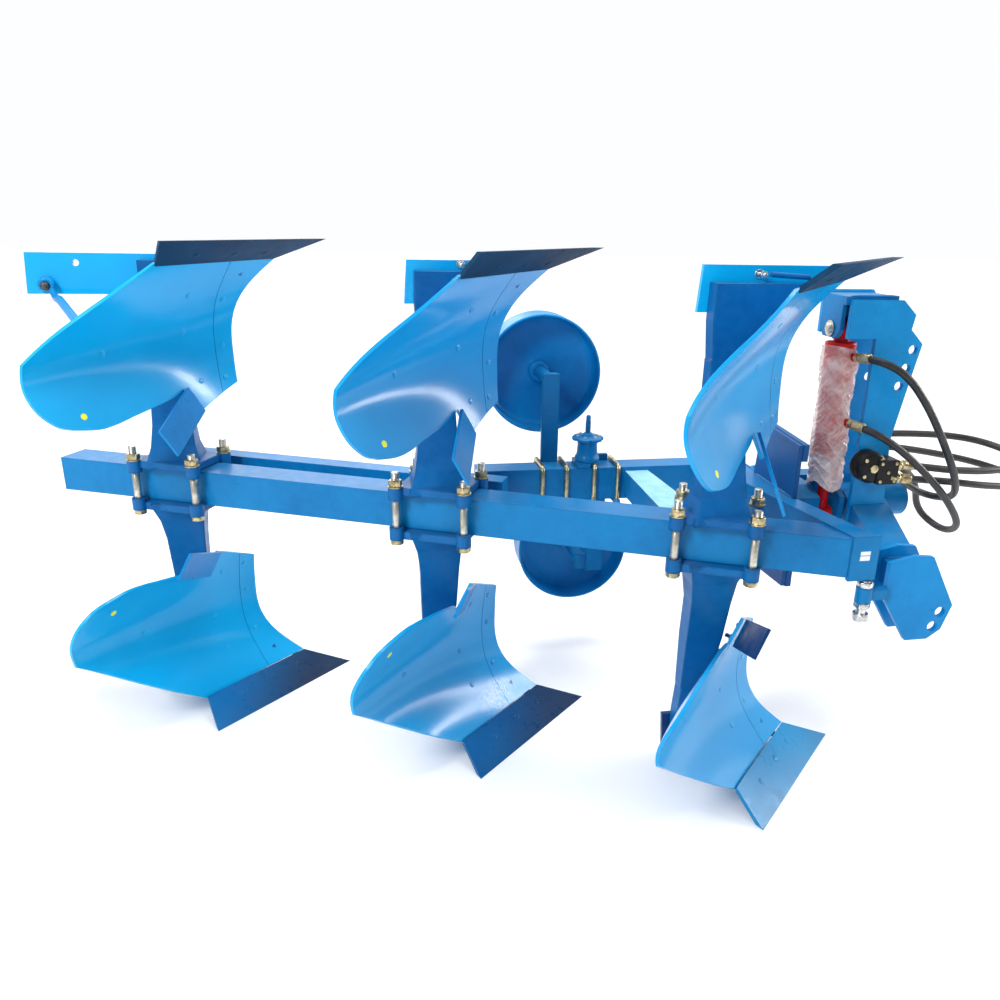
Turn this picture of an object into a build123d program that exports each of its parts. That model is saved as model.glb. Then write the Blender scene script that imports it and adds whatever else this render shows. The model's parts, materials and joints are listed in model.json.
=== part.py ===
from build123d import *
import os
from math import sin, cos, tan, radians, degrees, sqrt, pi

os.makedirs("parts", exist_ok=True)

# Three-furrow reversible moldboard plough, mounted type.
# Millimetres.  +X is the direction of travel, +Y is left, +Z is up.
# Geometry is written in the plough frame: z = 0 is the turnover plane (the
# middle of the beams), x = 0 and y = 0 is the point of the middle lower share.
# ORIGIN moves it to the middle of the footprint on the ground.
BEAM_HEIGHT = 690.0                 # turnover plane above the ground
ORIGIN = (-324.0, -142.0, -BEAM_HEIGHT)

# ---- beams -----------------------------------------------------------------
BEAM = 100.0                        # section of the main beam
BEAM_WALL = 10.0
BEAM_ANGLE = -24.65                 # main beam to the direction of travel
BEAM_START = (-1554.0, 373.0)       # rear end of the beam's front face
BEAM_LENGTH = 2262.0
INNER_Y = (86.0, 166.0)             # inner beam, parallel to travel
INNER_X = (-330.0, 395.0)

# ---- plough bodies ---------------------------------------------------------
# share point of each body in the plough frame
#            name      tip x   tip y   landside: length, lower edge
BODIES = [("rear",   -737.0,  337.9,  808.0, 47.0),
          ("middle",    0.0,    0.0,  530.0, 36.0),
          ("front",   680.0, -312.4,  530.0, 22.0)]
LANDSIDE_H = 110.0
LEG_BACK = (-455.0, -76.3)          # clamp centre seen from the share point
STUD_S, STUD_R = 96.0, 11.0         # half spacing of the clamp studs, radius

# ---- headstock -------------------------------------------------------------
SHAFT_Y = -145.0                    # turnover axis, at z = 0
HITCH_HALF = 412.5                  # half of the lower hitch spread
MAST_Y = (-250.0, -90.0)            # outer faces of the mast plates
MAST_T = 14.0
LOWER_HOLES = ((776.0, -163.0), (762.0, -203.0))
TOP_HOLES = ((792.0, 452.0), (780.0, 403.0), (768.0, 355.0))
CYL_X = 624.0                       # plane in which the cylinder swings
CYL_TOP = (-175.0, 500.0)           # its upper pin
CYL_PIN = (-197.0, -20.0)           # its rod pin at rest
WHEEL_R, WHEEL_W = 186.0, 110.0
#          name     x      y      z
WHEELS = [("upper", -95.0, 300.0, 296.0),
          ("lower", 24.0, 300.0, -298.0)]

ua = (cos(radians(BEAM_ANGLE)), sin(radians(BEAM_ANGLE)))     # along the beam
na = (-ua[1], ua[0])                                          # across, to the left


def on_beam(s, n, z=0.0):
    return (BEAM_START[0] + ua[0] * s + na[0] * n, BEAM_START[1] + ua[1] * s + na[1] * n, z)


def prism(points, vec):
    face = Face(Wire.make_polygon([Vector(*p) for p in points], close=True))
    return Solid.extrude(face, Vector(*vec))


def xz_plate(pts, y0, y1):
    return prism([(x, y0, z) for x, z in pts], (0, y1 - y0, 0))


def yz_plate(pts, x0, x1):
    return prism([(x0, y, z) for y, z in pts], (x1 - x0, 0, 0))


def xy_plate(pts, z0, z1):
    return prism([(x, y, z0) for x, y in pts], (0, 0, z1 - z0))


def block(x0, x1, y0, y1, z0, z1):
    return xy_plate([(x0, y0), (x1, y0), (x1, y1), (x0, y1)], z0, z1)


def rod(a, b, r):
    a, b = Vector(*a), Vector(*b)
    return Solid.make_cylinder(r, (b - a).length, Plane(origin=a, z_dir=(b - a)))


def group(solids):
    out = []
    for s in solids:
        out += list(s.solids())
    return out[0] if len(out) == 1 else Compound(children=out)


NODES = {}


def node(name, *shapes):
    g = group(shapes)
    g = g.moved(Location((-ORIGIN[0], -ORIGIN[1], -ORIGIN[2])))
    NODES[name] = g


def beam_box(s0, s1, n0, n1, z0, z1):
    return xy_plate([on_beam(s0, n0)[:2], on_beam(s1, n0)[:2], on_beam(s1, n1)[:2], on_beam(s0, n1)[:2]], z0, z1)


# ============================================================ plough body
# One lower right-hand body, share point at the origin, ground at z = 0,
# soil thrown to -Y.
TIP, WING = (0, 0, 0), (-375, -365, 0)
SEAM_F, SEAM_W = (-150, 0, 57), (-414, -273, 65)
SHARE_T = 12.0


def quad(a, b, c, d):
    return Wire.make_polygon([Vector(*a), Vector(*b), Vector(*c), Vector(*d)], close=True)


share_tip = quad(TIP, SEAM_F, (SEAM_F[0], 0, SEAM_F[2] - 13), (-34, 0, 0))
share_wing = quad(WING, SEAM_W, (SEAM_W[0], SEAM_W[1], SEAM_W[2] - 15), (WING[0] - 9.75, WING[1] + 23, 0))
share = Solid.make_loft([share_tip, share_wing], True)

# chord plane of the moldboard: A0 on the shin, D0 along the chord to the tail,
# N0 square to it on the furrow side
A0, D0, N0 = Vector(-284, 0, 0), Vector(-0.662, -0.7495, 0), Vector(0.7495, -0.662, 0)


def on_chord(t, z, n=0.0):
    return A0 + D0 * t + N0 * n + Vector(0, 0, z)


# level sections of the moldboard, each an arc from the shin to past the tail
# columns: height, shin x, outer x, outer y, sagitta of the arc
SECTIONS = [
    (57.0, -150.0, -440.0, -300.0, 3.6),
    (130.0, -229.0, -541.0, -381.0, 18.0),
    (230.0, -281.0, -694.0, -483.0, 37.0),
    (330.0, -286.0, -738.0, -506.0, 32.0),
    (400.0, -283.0, -725.0, -531.0, 20.0),
    (480.0, -270.0, -704.0, -556.0, 6.0),
]
BOARD_T = 9.0


def board_section(z, xs, xo, yo, sag):
    a, b = Vector(xs, 0, z), Vector(xo, yo, z)
    d = (b - a).normalized()
    back = Vector(d.Y, -d.X, 0)
    if back.Y < 0:
        back = -back
    m = (a + b) * 0.5 + back * sag
    a2, b2, m2 = a + back * BOARD_T, b + back * BOARD_T, m + back * BOARD_T
    return Wire([Edge.make_three_point_arc(a, m, b), Edge.make_line(b, b2),
                 Edge.make_three_point_arc(b2, m2, a2), Edge.make_line(a2, a)])


board_full = Solid.make_loft([board_section(*r) for r in SECTIONS])
# outline of the moldboard in its chord plane: distance from the shin, height
OUTLINE = [(-200, 40), (291, 40), (291, 58), (360, 106), (605, 285), (613, 345), (600, 395), (570, 430), (540, 445), (500, 454), (450, 460),
           (400, 456), (350, 447), (300, 439), (250, 430), (205, 419), (178, 402), (145, 473), (0, 411), (-200, 405)]
outline = prism([tuple(on_chord(t, z, 260)) for t, z in OUTLINE], tuple(N0 * -520))
board = max((board_full & outline).solids(), key=lambda q: q.volume)

# small trash plate on the neck of the moldboard, turned to the furrow side
PLATE_T = 8.0
P1, P2, P3, P4 = (Vector(-402, -133, 402), Vector(-365, -120, 473), Vector(-407, -316, 550), Vector(-444, -329, 479))
pn = (P2 - P1).cross(P4 - P1).normalized()
trash_plate = max((prism([tuple(p) for p in (P1, P2, P3, P4)], tuple(pn * PLATE_T)) - board).solids(), key=lambda q: q.volume)

def leg_and_frog():
    """Shank, frog and clamp flange as one casting; z up to the beam."""
    cx, cy = LEG_BACK
    z1 = BEAM_HEIGHT - 54.0
    # shank sections: height, x rear, x front, y right, y left
    rows = [(z1, cx - 84, cx + 74, cy - 62, cy + 62),
            (z1 - 26, cx - 76, cx + 66, cy - 52, cy + 50),
            (z1 - 60, cx - 66, cx + 56, cy - 38, cy + 38),
            (z1 - 120, -513, -404, cy - 26, cy + 34),
            (400, -510, -410, -84, -26),
            (240, -506, -432, -62, -20)]
    w = [quad((x0, y0, z), (x1, y0, z), (x1, y1, z), (x0, y1, z)) for z, x0, x1, y0, y1 in rows]
    body = Solid.make_loft(w[0:2], True)
    for k in range(1, len(w) - 1):
        body = body + Solid.make_loft(w[k:k + 2], True)
    frog = xz_plate([(-508, 62), (-220, 62), (-262, 150), (-300, 240), (-308, 330), (-432, 330), (-432, 250),
                     (-502, 250), (-510, 150)], -62, -16)
    corner = [(s, n) for s, n in ((-STUD_S, -77), (STUD_S, -77), (STUD_S, 77), (-STUD_S, 77))]
    spot = [(cx + ua[0] * s + na[0] * n, cy + ua[1] * s + na[1] * n) for s, n in corner]
    flange = xy_plate(spot, BEAM_HEIGHT - 74, BEAM_HEIGHT - 52)
    pad = xy_plate([(cx + ua[0] * s + na[0] * n, cy + ua[1] * s + na[1] * n) for s, n in
                    ((-62, -48), (62, -48), (62, 48), (-62, 48))], BEAM_HEIGHT - 53, BEAM_HEIGHT - 50)
    body = body + frog + flange + pad
    for x, y in spot:
        body = body + rod((x, y, BEAM_HEIGHT - 74), (x, y, BEAM_HEIGHT - 40), 20)
    for x, y in spot:
        body = body - rod((x, y, BEAM_HEIGHT - 140), (x, y, BEAM_HEIGHT), STUD_R + 0.5)
        body = body - rod((x, y, BEAM_HEIGHT - 140), (x, y, BEAM_HEIGHT - 74), 21)
    # room for the beam between the bosses
    c0 = (cx - ua[0] * 200 - na[0] * 50, cy - ua[1] * 200 - na[1] * 50)
    slot = xy_plate([c0, (c0[0] + ua[0] * 400, c0[1] + ua[1] * 400),
                     (c0[0] + ua[0] * 400 + na[0] * 100, c0[1] + ua[1] * 400 + na[1] * 100),
                     (c0[0] + na[0] * 100, c0[1] + na[1] * 100)], BEAM_HEIGHT - 50, BEAM_HEIGHT)
    body = body - slot - board - share - furrow_side()
    return max(body.solids(), key=lambda s: s.volume)


def furrow_side():
    """Everything on the furrow side of the moldboard, used to trim the casting."""
    ws = []
    for z, xs, xo, yo, sag in SECTIONS:
        a, b = Vector(xs, 0, z), Vector(xo, yo, z)
        d = (b - a).normalized()
        back = Vector(d.Y, -d.X, 0)
        if back.Y < 0:
            back = -back
        m = (a + b) * 0.5 + back * sag
        ws.append(Wire([Edge.make_three_point_arc(a, m, b), Edge.make_line(b, b - back * 700),
                        Edge.make_line(b - back * 700, a - back * 700), Edge.make_line(a - back * 700, a)]))
    return Solid.make_loft(ws)


leg = leg_and_frog()


def landside(length, z0, z1):
    s = xz_plate([(-length + 4, z0), (-160, z0), (-205, 56), (-250, z1), (-length - 4, z1)], -16, -2)
    s = s - board - share
    s = max(s.solids(), key=lambda q: q.volume)
    return s - rod((-length + 131, -30, z0 + 26), (-length + 131, 20, z0 + 26), 9) if length > 600 else s


def stay():
    """Rod with a forked eye from the rear landside to the back of the moldboard tail."""
    a, b = Vector(-756, -38, 134), Vector(-606, -305, 198)
    r = rod(tuple(a), tuple(b), 11) + block(-776, -736, -48, -16.2, 118, 150)
    return max((r - board).solids(), key=lambda q: q.volume)


def place(shape, tip, upper):
    s = shape
    if upper:
        s = s.mirror(Plane(origin=(0, 0, BEAM_HEIGHT), z_dir=(0, 0, 1)))
    return s.moved(Location((tip[0], tip[1], -BEAM_HEIGHT)))


landsides, guards, studs, stays = {"lower": [], "upper": []}, [], [], []
for name, tx, ty, ll, lz in BODIES:
    ls = landside(ll, lz, lz + LANDSIDE_H)
    for side, upper in (("lower", False), ("upper", True)):
        tip = (tx, ty)
        node(f"{side}_share_{name}", place(share, tip, upper))
        node(f"{side}_moldboard_{name}", place(board, tip, upper))
        node(f"{side}_leg_{name}", place(leg, tip, upper))
        landsides[side].append(place(ls, tip, upper))
        guards.append(place(trash_plate, tip, upper))
        if name == "rear":
            stays.append(place(stay(), tip, upper))
    # clamp studs of this position
    cx, cy = tx + LEG_BACK[0], ty + LEG_BACK[1]
    for ds in (-STUD_S, STUD_S):
        for dn in (-77, 77):
            x, y = cx + ua[0] * ds + na[0] * dn, cy + ua[1] * ds + na[1] * dn
            studs.append(rod((x, y, -88), (x, y, 118), STUD_R) + rod((x, y, 74), (x, y, 94), 18) +
                         rod((x, y, -88), (x, y, -74), 17))

for side in landsides:
    node(f"{side}_landsides", *landsides[side])
node("trash_plates", *guards)
node("tail_stays", *stays)
node("clamp_studs", *studs)
STUD_SPACE = rod((studs[0].center().X, studs[0].center().Y, -140), (studs[0].center().X, studs[0].center().Y, 140), 21)
for st in studs[1:]:
    STUD_SPACE = STUD_SPACE + rod((st.center().X, st.center().Y, -140), (st.center().X, st.center().Y, 140), 21)

# ============================================================ beams
def biggest(shape):
    return max(shape.solids(), key=lambda q: q.volume)


# corners of the front cross member, seen from above
CROSS = [(502, -560), (564, -560), (500, -270), (500, 166), (395, 166), (395, 60), (432, -200)]
cross = xy_plate(CROSS, -55, 55)
main_beam = beam_box(0, BEAM_LENGTH, 0, BEAM, -50, 50)
main_beam = main_beam - beam_box(8, 2075, BEAM_WALL, BEAM - BEAM_WALL, -50 + BEAM_WALL, 50 - BEAM_WALL)
END_PLATE = [(497, -560.5), (569, -560.5), (569, -573), (497, -573)]
main_beam = biggest(main_beam - cross - xy_plate(END_PLATE, -58, 58))
node("main_beam", main_beam)
node("front_cross_beam", cross)
node("end_stop_plate", xy_plate(END_PLATE, -58, 58))
inner_solid = block(INNER_X[0], 395, INNER_Y[0], INNER_Y[1], -50, 50)
lane = beam_box(0, BEAM_LENGTH + 100, -50, BEAM, -60, 60)
inner_hollow = block(INNER_X[0] + 8, 380, INNER_Y[0] + 8, INNER_Y[1] - 8, -42, 42) - beam_box(0, BEAM_LENGTH + 100, -50, BEAM + 8, -60, 60)
inner = inner_solid - inner_hollow
inner = biggest(inner - lane)
rear_hollow = beam_box(258, 1322, 183, 227, -42, 42) - block(INNER_X[0] - 8, 395, INNER_Y[0] - 8, INNER_Y[1] + 8, -50, 50)
rear_tube = beam_box(250, 1330, 175, 235, -50, 50) - rear_hollow
rear_tube = biggest(rear_tube - inner_solid)
node("inner_beam", inner)
spacers = [biggest(beam_box(a, b, BEAM, 175, -40, 40) - inner_solid - STUD_SPACE) for a, b in ((300, 380), (1190, 1250))]
node("rear_beam", rear_tube)
node("beam_spacers", *spacers)
brace = biggest(xy_plate([(124, 86), (196, 86), (212, -150), (212, -300), (118, -300)], -38, 38) - lane - STUD_SPACE)
node("cross_brace", brace)

# crank yoke that joins the cross member to the turnover shaft; the eye of the
# cylinder's rod swings between its two ears
EAR_R = (578.0, 594.0)
EAR_F = (654.0, 670.0)
ear_pts = [(-236, -48), (-176, -62), (-30, -62), (-30, 62), (-176, 62), (-236, 40)]
rear_ear = yz_plate(ear_pts, 500, EAR_R[1])
front_ear = yz_plate(ear_pts, *EAR_F)
web = block(EAR_R[1], EAR_F[0], -90, -30, -62, 62)
yoke = (rear_ear + web + front_ear) - cross
yoke = yoke - rod((480, CYL_PIN[0], CYL_PIN[1]), (700, CYL_PIN[0], CYL_PIN[1]), 15)
node("turnover_yoke", biggest(yoke))
node("turnover_shaft", rod((EAR_F[1], SHAFT_Y, 0), (906, SHAFT_Y, 0), 34))
for side, k in (("upper", 1), ("lower", -1)):
    wall = yz_plate([(-30, 55 * k), (-52, 216 * k), (-276, 204 * k), (-276, 55 * k)], 488, 500)
    cap = yz_plate([(-46, 175 * k), (-52, 218 * k), (-278, 206 * k), (-278, 160 * k)], 500, 516)
    node(f"{side}_turnover_wall", wall, cap)

# ============================================================ depth wheels
for name, wx, wy, wz in WHEELS:
    s = 1 if wz > 0 else -1
    w = Solid.make_cylinder(WHEEL_R, WHEEL_W, Plane(origin=(wx, wy, wz), z_dir=(0, 1, 0)))
    hollow = Solid.make_cylinder(WHEEL_R - 6, WHEEL_W - 20, Plane(origin=(wx, wy - 1, wz), z_dir=(0, 1, 0)))
    hub = Solid.make_cylinder(32, 40, Plane(origin=(wx, wy + 50, wz), z_dir=(0, 1, 0)))
    bore = Solid.make_cylinder(20, 200, Plane(origin=(wx, wy - 20, wz), z_dir=(0, 1, 0)))
    node(f"gauge_wheel_{name}", (w - hollow + hub) - bore)
    px = -97.0 if name == "upper" else 63.0
    post = block(px - 26, px + 26, 166.5, 182, min(-70 * s, wz + 25 * s), max(-70 * s, wz + 25 * s))
    arm = block(min(px - 20, wx - 20), max(px + 20, wx + 20), 182, 200, wz - 25, wz + 25)
    axle = rod((wx, 190, wz), (wx, wy + 112, wz), 19.95)
    node(f"wheel_post_{name}", biggest(post + arm + axle))
ub = []
for x in (-134, -60, 26, 100):
    u = rod((x, 78, -76), (x, 78, 57), 7) + rod((x, 192, -76), (x, 192, 57), 7) + block(x - 7, x + 7, 71, 199, 51, 63)
    ub.append(u + block(x - 10, x + 10, 62, 208, -68, -58) - block(-1000, 1000, 166, 184, -57, 50))
node("wheel_u_bolts", *ub)
adj = [block(-25, 17, 84, 168, 50, 64), rod((12, 126, 64), (12, 126, 82), 38), rod((12, 126, 82), (12, 126, 136), 33),
       rod((12, 126, 136), (12, 126, 150), 48), rod((12, 126, 150), (12, 126, 205), 8)]
a = adj[0]
for q in adj[1:]:
    a = a + q
node("depth_adjuster", biggest(a))

# ============================================================ headstock
mast_pts = [(700, -70), (678, -40), (678, 481), (598, 481), (598, 580), (744, 580), (784, 543), (778, 505), (817, 467), (800, 377),
            (770, 206), (790, -70)]
MAST_R = xz_plate([(x + 1, z) if x == 678 else (x, z) for x, z in mast_pts], MAST_Y[0], MAST_Y[0] + MAST_T)
MAST_L = xz_plate([(x + 1, z) if x == 678 else (x, z + 15 if z == 580 else z) for x, z in mast_pts], MAST_Y[1] - MAST_T, MAST_Y[1])
house = Solid.make_cylinder(50, 212, Plane(origin=(688, SHAFT_Y, 0), z_dir=(1, 0, 0)))
house_bore = Solid.make_cylinder(34.05, 260, Plane(origin=(680, SHAFT_Y, 0), z_dir=(1, 0, 0)))
for i, m in enumerate((MAST_R, MAST_L)):
    m = m - house
    for x, z in TOP_HOLES:
        m = m - rod((x, -400, z), (x, 100, z), 12.75)
    node(("mast_plate_right", "mast_plate_left")[i], biggest(m))
node("shaft_housing", house - house_bore)
y0, y1 = MAST_Y[0] + MAST_T, MAST_Y[1] - MAST_T
br = block(588, 736, y0, y1, 566, 588)
for x0, x1 in ((588, 600), (648, 660)):
    br = br + yz_plate([(y0 + 14, 566), (y0 + 14, 498), (y0 + 34, 477), (y1 - 34, 477), (y1 - 14, 498), (y1 - 14, 566)], x0, x1)
br = br - rod((540, CYL_TOP[0], CYL_TOP[1]), (700, CYL_TOP[0], CYL_TOP[1]), 15.0)
node("cylinder_bracket", br)
node("cylinder_top_pin", rod((580, CYL_TOP[0], CYL_TOP[1]), (668, CYL_TOP[0], CYL_TOP[1]), 14.9))

HP = [(611, -21), (680, -5), (730, -10), (808, -146), (787, -213), (752, -238), (690, -238), (611, -117)]
bosses, bolts = [], []
for side, sy in (("right", -1), ("left", 1)):
    yo = SHAFT_Y + sy * HITCH_HALF
    yi = SHAFT_Y + sy * (HITCH_HALF - 75)
    outer, inner_p = xz_plate(HP, yo - 7, yo + 7), xz_plate(HP, yi - 7, yi + 7)
    pl = [outer, inner_p]
    for i in range(2):
        for x, z in LOWER_HOLES:
            pl[i] = pl[i] - rod((x, -700, z), (x, 400, z), 14.25)
    node(f"hitch_plates_{side}", *pl)
    w1 = Wire.make_polygon([Vector(x, SHAFT_Y + sy * 10, z) for x, z in [(700, 45), (820, 45), (820, -45), (700, -45)]], close=True)
    w2 = Wire.make_polygon([Vector(x, yi - sy * 7, z) for x, z in [(640, -35), (740, -35), (740, -125), (640, -125)]], close=True)
    arm = Solid.make_loft([w1, w2], True) - house - MAST_L - MAST_R
    tie = block(640, 730, min(yi + sy * 7, yo - sy * 7), max(yi + sy * 7, yo - sy * 7), -100, -40)
    parts = [q for q in arm.solids() if abs(q.center().Y - SHAFT_Y) > 110]
    node(f"hitch_arm_{side}", max(parts, key=lambda q: q.volume), tie)
    bx, by = 551.0, SHAFT_Y + sy * 420.0
    boss = rod((bx, by, -118), (bx, by, -78), 20) + block(bx, 611, by - 12, by + 12, -112, -84)
    bosses.append(biggest(boss - rod((bx, by, -200), (bx, by, 0), 12.05)))
    bolts.append(rod((bx, by, -150), (bx, by, -59), 12) + rod((bx, by, -168), (bx, by, -150), 20))
node("stop_brackets", *bosses)
node("stop_bolts", *bolts)
# points of the hoses, from the port to the far end
HOSE_R = 10.0
HOSES = {
    "cylinder_hose_upper": [(647, -241, 430), (668, -297, 434), (736, -325, 400), (800, -345, 318), (858, -358, 218),
                            (918, -352, 118), (972, -290, 42), (952, -205, 22), (870, -212, 62), (790, -262, 112)],
    "cylinder_hose_lower": [(654, -245, 250), (684, -296, 243), (757, -312, 200), (842, -322, 132), (932, -322, 45),
                            (1012, -288, -48), (1030, -195, -95), (975, -135, -45), (928, -178, 50), (862, -215, 106), (790, -262, 140)],
    "supply_hose_upper": [(790, -290, 146), (850, -294, 140), (950, -302, 128), (1060, -300, 122), (1175, -270, 122),
                          (1240, -180, 132), (1190, -90, 150), (1085, -66, 165), (965, -62, 172), (880, -62, 174),
                          (800, -62, 174)],
    "supply_hose_lower": [(790, -290, 108), (850, -286, 101), (950, -280, 90), (1060, -290, 76), (1185, -268, 62),
                          (1262, -180, 62), (1205, -88, 78), (1090, -64, 102), (965, -60, 124), (880, -60, 134),
                          (800, -60, 136)],
}


def hose(pts):
    p = [Vector(*q) for q in pts]
    runs = [(b - a).length for a, b in zip(p, p[1:])]
    radii = []
    for k in range(1, len(p) - 1):
        turn = radians((p[k] - p[k - 1]).get_angle(p[k + 1] - p[k]))
        radii.append(0.45 * min(runs[k - 1], runs[k]) / tan(turn / 2))
    path = FilletPolyline(*p, radius=radii)
    tube = sweep(Plane(origin=p[0], z_dir=(p[1] - p[0]).normalized()) * Circle(HOSE_R), path=path)
    print("hose", round(path.length), "volume ratio", round(tube.volume / (pi * HOSE_R ** 2 * path.length), 4),
          "radii", [round(r) for r in radii])
    return tube


for name, pts in HOSES.items():
    node(name, hose(pts))


def stub(pts, back, r, end=0):
    """Fitting that a hose comes out of, in line with its first or last run."""
    a, b = Vector(*pts[end]), Vector(*pts[1 if end == 0 else -2])
    d = (a - b).normalized()
    return rod(tuple(a + d * back), tuple(a), r)


valve = rod((702, -298, 140), (702, MAST_Y[0], 140), 44) + block(712, 776, -302, MAST_Y[0], 94, 164)
for name, end in (("cylinder_hose_upper", -1), ("cylinder_hose_lower", -1), ("supply_hose_upper", 0), ("supply_hose_lower", 0)):
    valve = valve + stub(HOSES[name], 35, HOSE_R, end)
node("control_valve", biggest(valve))
rack = block(752, 772, MAST_Y[1], -46, 116, 194)
for name in ("supply_hose_upper", "supply_hose_lower"):
    rack = rack + stub(HOSES[name], 62, 14, -1) + stub(HOSES[name], 76, 10, -1)
node("hose_couplers", biggest(rack))

# ============================================================ cylinder
T = Vector(CYL_X, CYL_TOP[0], CYL_TOP[1])
B = Vector(CYL_X, CYL_PIN[0], CYL_PIN[1])
ax = (B - T).normalized()
L = (B - T).length
BARREL_END = 343.0


def along(d0, d1, r):
    p, q = T + ax * d0, T + ax * d1
    return rod(tuple(p), tuple(q), r)


eye = Solid.make_cylinder(29, 44, Plane(origin=(CYL_X - 22, T.Y, T.Z), z_dir=(1, 0, 0)))
barrel = along(36, BARREL_END, 40) + along(0, 60, 20) + eye
ports = [stub(HOSES["cylinder_hose_upper"], 38, 11), stub(HOSES["cylinder_hose_lower"], 38, 11)]
barrel = barrel + ports[0] + ports[1]
barrel = barrel - Solid.make_cylinder(15.0, 80, Plane(origin=(CYL_X - 40, T.Y, T.Z), z_dir=(1, 0, 0)))
barrel = barrel - along(80, BARREL_END + 5, 16.1)
node("cylinder_barrel", biggest(barrel))
film = along(92, BARREL_END + 2, 50) - along(60, BARREL_END + 5, 40.3) - stub(HOSES["cylinder_hose_lower"], 60, 12)
node("wrap_film", biggest(film))
reye = Solid.make_cylinder(26, 44, Plane(origin=(CYL_X - 22, B.Y, B.Z), z_dir=(1, 0, 0)))
rd = along(150, L - 10, 16) + reye
node("cylinder_rod", biggest(rd))

for k, v in NODES.items():
    export_step(v, f"parts/{k}.step")
bb = None
for k, v in NODES.items():
    b = v.bounding_box()
    bb = b if bb is None else bb.add(b)
print("nodes", len(NODES), "box", [round(x, 1) for x in tuple(bb.min)], [round(x, 1) for x in tuple(bb.max)],
      "centre", [round((p + q) / 2, 1) for p, q in zip(tuple(bb.min), tuple(bb.max))])
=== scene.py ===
import json
import math
import bpy
import bmesh
import numpy as np
from mathutils import Vector, Matrix, noise
from mathutils.geometry import delaunay_2d_cdt

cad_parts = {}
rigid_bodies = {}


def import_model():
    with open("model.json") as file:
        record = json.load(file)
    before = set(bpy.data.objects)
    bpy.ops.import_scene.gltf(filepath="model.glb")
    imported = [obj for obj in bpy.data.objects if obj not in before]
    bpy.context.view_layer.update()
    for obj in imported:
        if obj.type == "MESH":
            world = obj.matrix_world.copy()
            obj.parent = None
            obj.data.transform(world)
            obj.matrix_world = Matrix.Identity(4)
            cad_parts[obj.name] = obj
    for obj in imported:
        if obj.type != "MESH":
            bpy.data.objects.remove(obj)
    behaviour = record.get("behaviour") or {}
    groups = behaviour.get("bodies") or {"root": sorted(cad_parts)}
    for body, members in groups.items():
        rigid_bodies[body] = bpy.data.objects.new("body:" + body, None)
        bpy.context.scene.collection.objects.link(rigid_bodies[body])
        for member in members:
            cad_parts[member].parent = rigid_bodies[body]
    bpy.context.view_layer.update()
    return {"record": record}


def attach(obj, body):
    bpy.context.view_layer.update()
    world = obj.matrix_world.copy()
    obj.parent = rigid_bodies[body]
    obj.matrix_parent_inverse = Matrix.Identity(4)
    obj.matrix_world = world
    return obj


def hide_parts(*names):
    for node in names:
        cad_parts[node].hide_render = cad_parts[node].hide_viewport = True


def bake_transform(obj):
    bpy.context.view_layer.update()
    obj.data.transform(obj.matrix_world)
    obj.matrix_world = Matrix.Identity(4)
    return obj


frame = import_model()

# Plough frame: x along travel, y left, z = 0 in the turnover plane, millimetres.
ORIGIN = Vector((-324.0, -142.0, -690.0))


def P(x, y, z):
    return (Vector((x, y, z)) - ORIGIN) / 1000.0


# ------------------------------------------------------------------ camera
cam_data = bpy.data.cameras.new("camera")
cam = bpy.data.objects.new("camera", cam_data)
bpy.context.collection.objects.link(cam)
cam_data.sensor_width = 36.0
cam_data.lens = 30.107
cam_data.shift_x = -0.0286
cam_data.shift_y = 0.0104
cam_data.clip_start, cam_data.clip_end = 0.05, 60.0
right, down, fwd = (0.98324, -0.18104, 0.02162), (-0.04068, -0.33338, -0.94191), (0.17773, 0.92525, -0.33516)
m = Matrix([[right[i], -down[i], -fwd[i]] for i in range(3)])
cam.matrix_world = Matrix.Translation(P(-624, -2262, 773)) @ m.to_4x4()
bpy.context.scene.camera = cam
bpy.context.scene.view_settings.view_transform = "Standard"
bpy.context.scene.view_settings.look = "None"

# ------------------------------------------------------------------ materials


def new_mat(name):
    mat = bpy.data.materials.new(name)
    mat.use_nodes = True
    nt = mat.node_tree
    nt.nodes.clear()
    return mat, nt, nt.nodes, nt.links


def noise_node(nt, coord, scale, detail=3.0, rough=0.55, distortion=0.0):
    n = nt.nodes.new("ShaderNodeTexNoise")
    n.inputs["Scale"].default_value = scale
    n.inputs["Detail"].default_value = detail
    n.inputs["Roughness"].default_value = rough
    n.inputs["Distortion"].default_value = distortion
    nt.links.new(coord, n.inputs["Vector"])
    return n.outputs["Fac"]


def ramp(nt, fac, stops, interpolation="LINEAR"):
    r = nt.nodes.new("ShaderNodeValToRGB")
    r.color_ramp.interpolation = interpolation
    e = r.color_ramp.elements
    while len(e) > 1:
        e.remove(e[-1])
    e[0].position, e[0].color = stops[0][0], (*stops[0][1], 1)
    for p, c in stops[1:]:
        k = e.new(p)
        k.color = (*c, 1)
    nt.links.new(fac, r.inputs["Fac"])
    return r.outputs["Color"]


def grey(nt, fac, stops):
    return ramp(nt, fac, [(p, (v, v, v)) for p, v in stops])


def mix(nt, fac, a, b, mode="MIX"):
    n = nt.nodes.new("ShaderNodeMix")
    n.data_type = "RGBA"
    n.blend_type = mode
    if isinstance(fac, (int, float)):
        n.inputs[0].default_value = fac
    else:
        nt.links.new(fac, n.inputs[0])
    for k, v in ((6, a), (7, b)):
        if isinstance(v, tuple):
            n.inputs[k].default_value = (*v, 1)
        else:
            nt.links.new(v, n.inputs[k])
    return n.outputs[2]


def math_node(nt, op, a, b=0.0, clamp=False):
    n = nt.nodes.new("ShaderNodeMath")
    n.operation = op
    n.use_clamp = clamp
    for k, v in ((0, a), (1, b)):
        if isinstance(v, (int, float)):
            n.inputs[k].default_value = v
        else:
            nt.links.new(v, n.inputs[k])
    return n.outputs[0]


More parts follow.
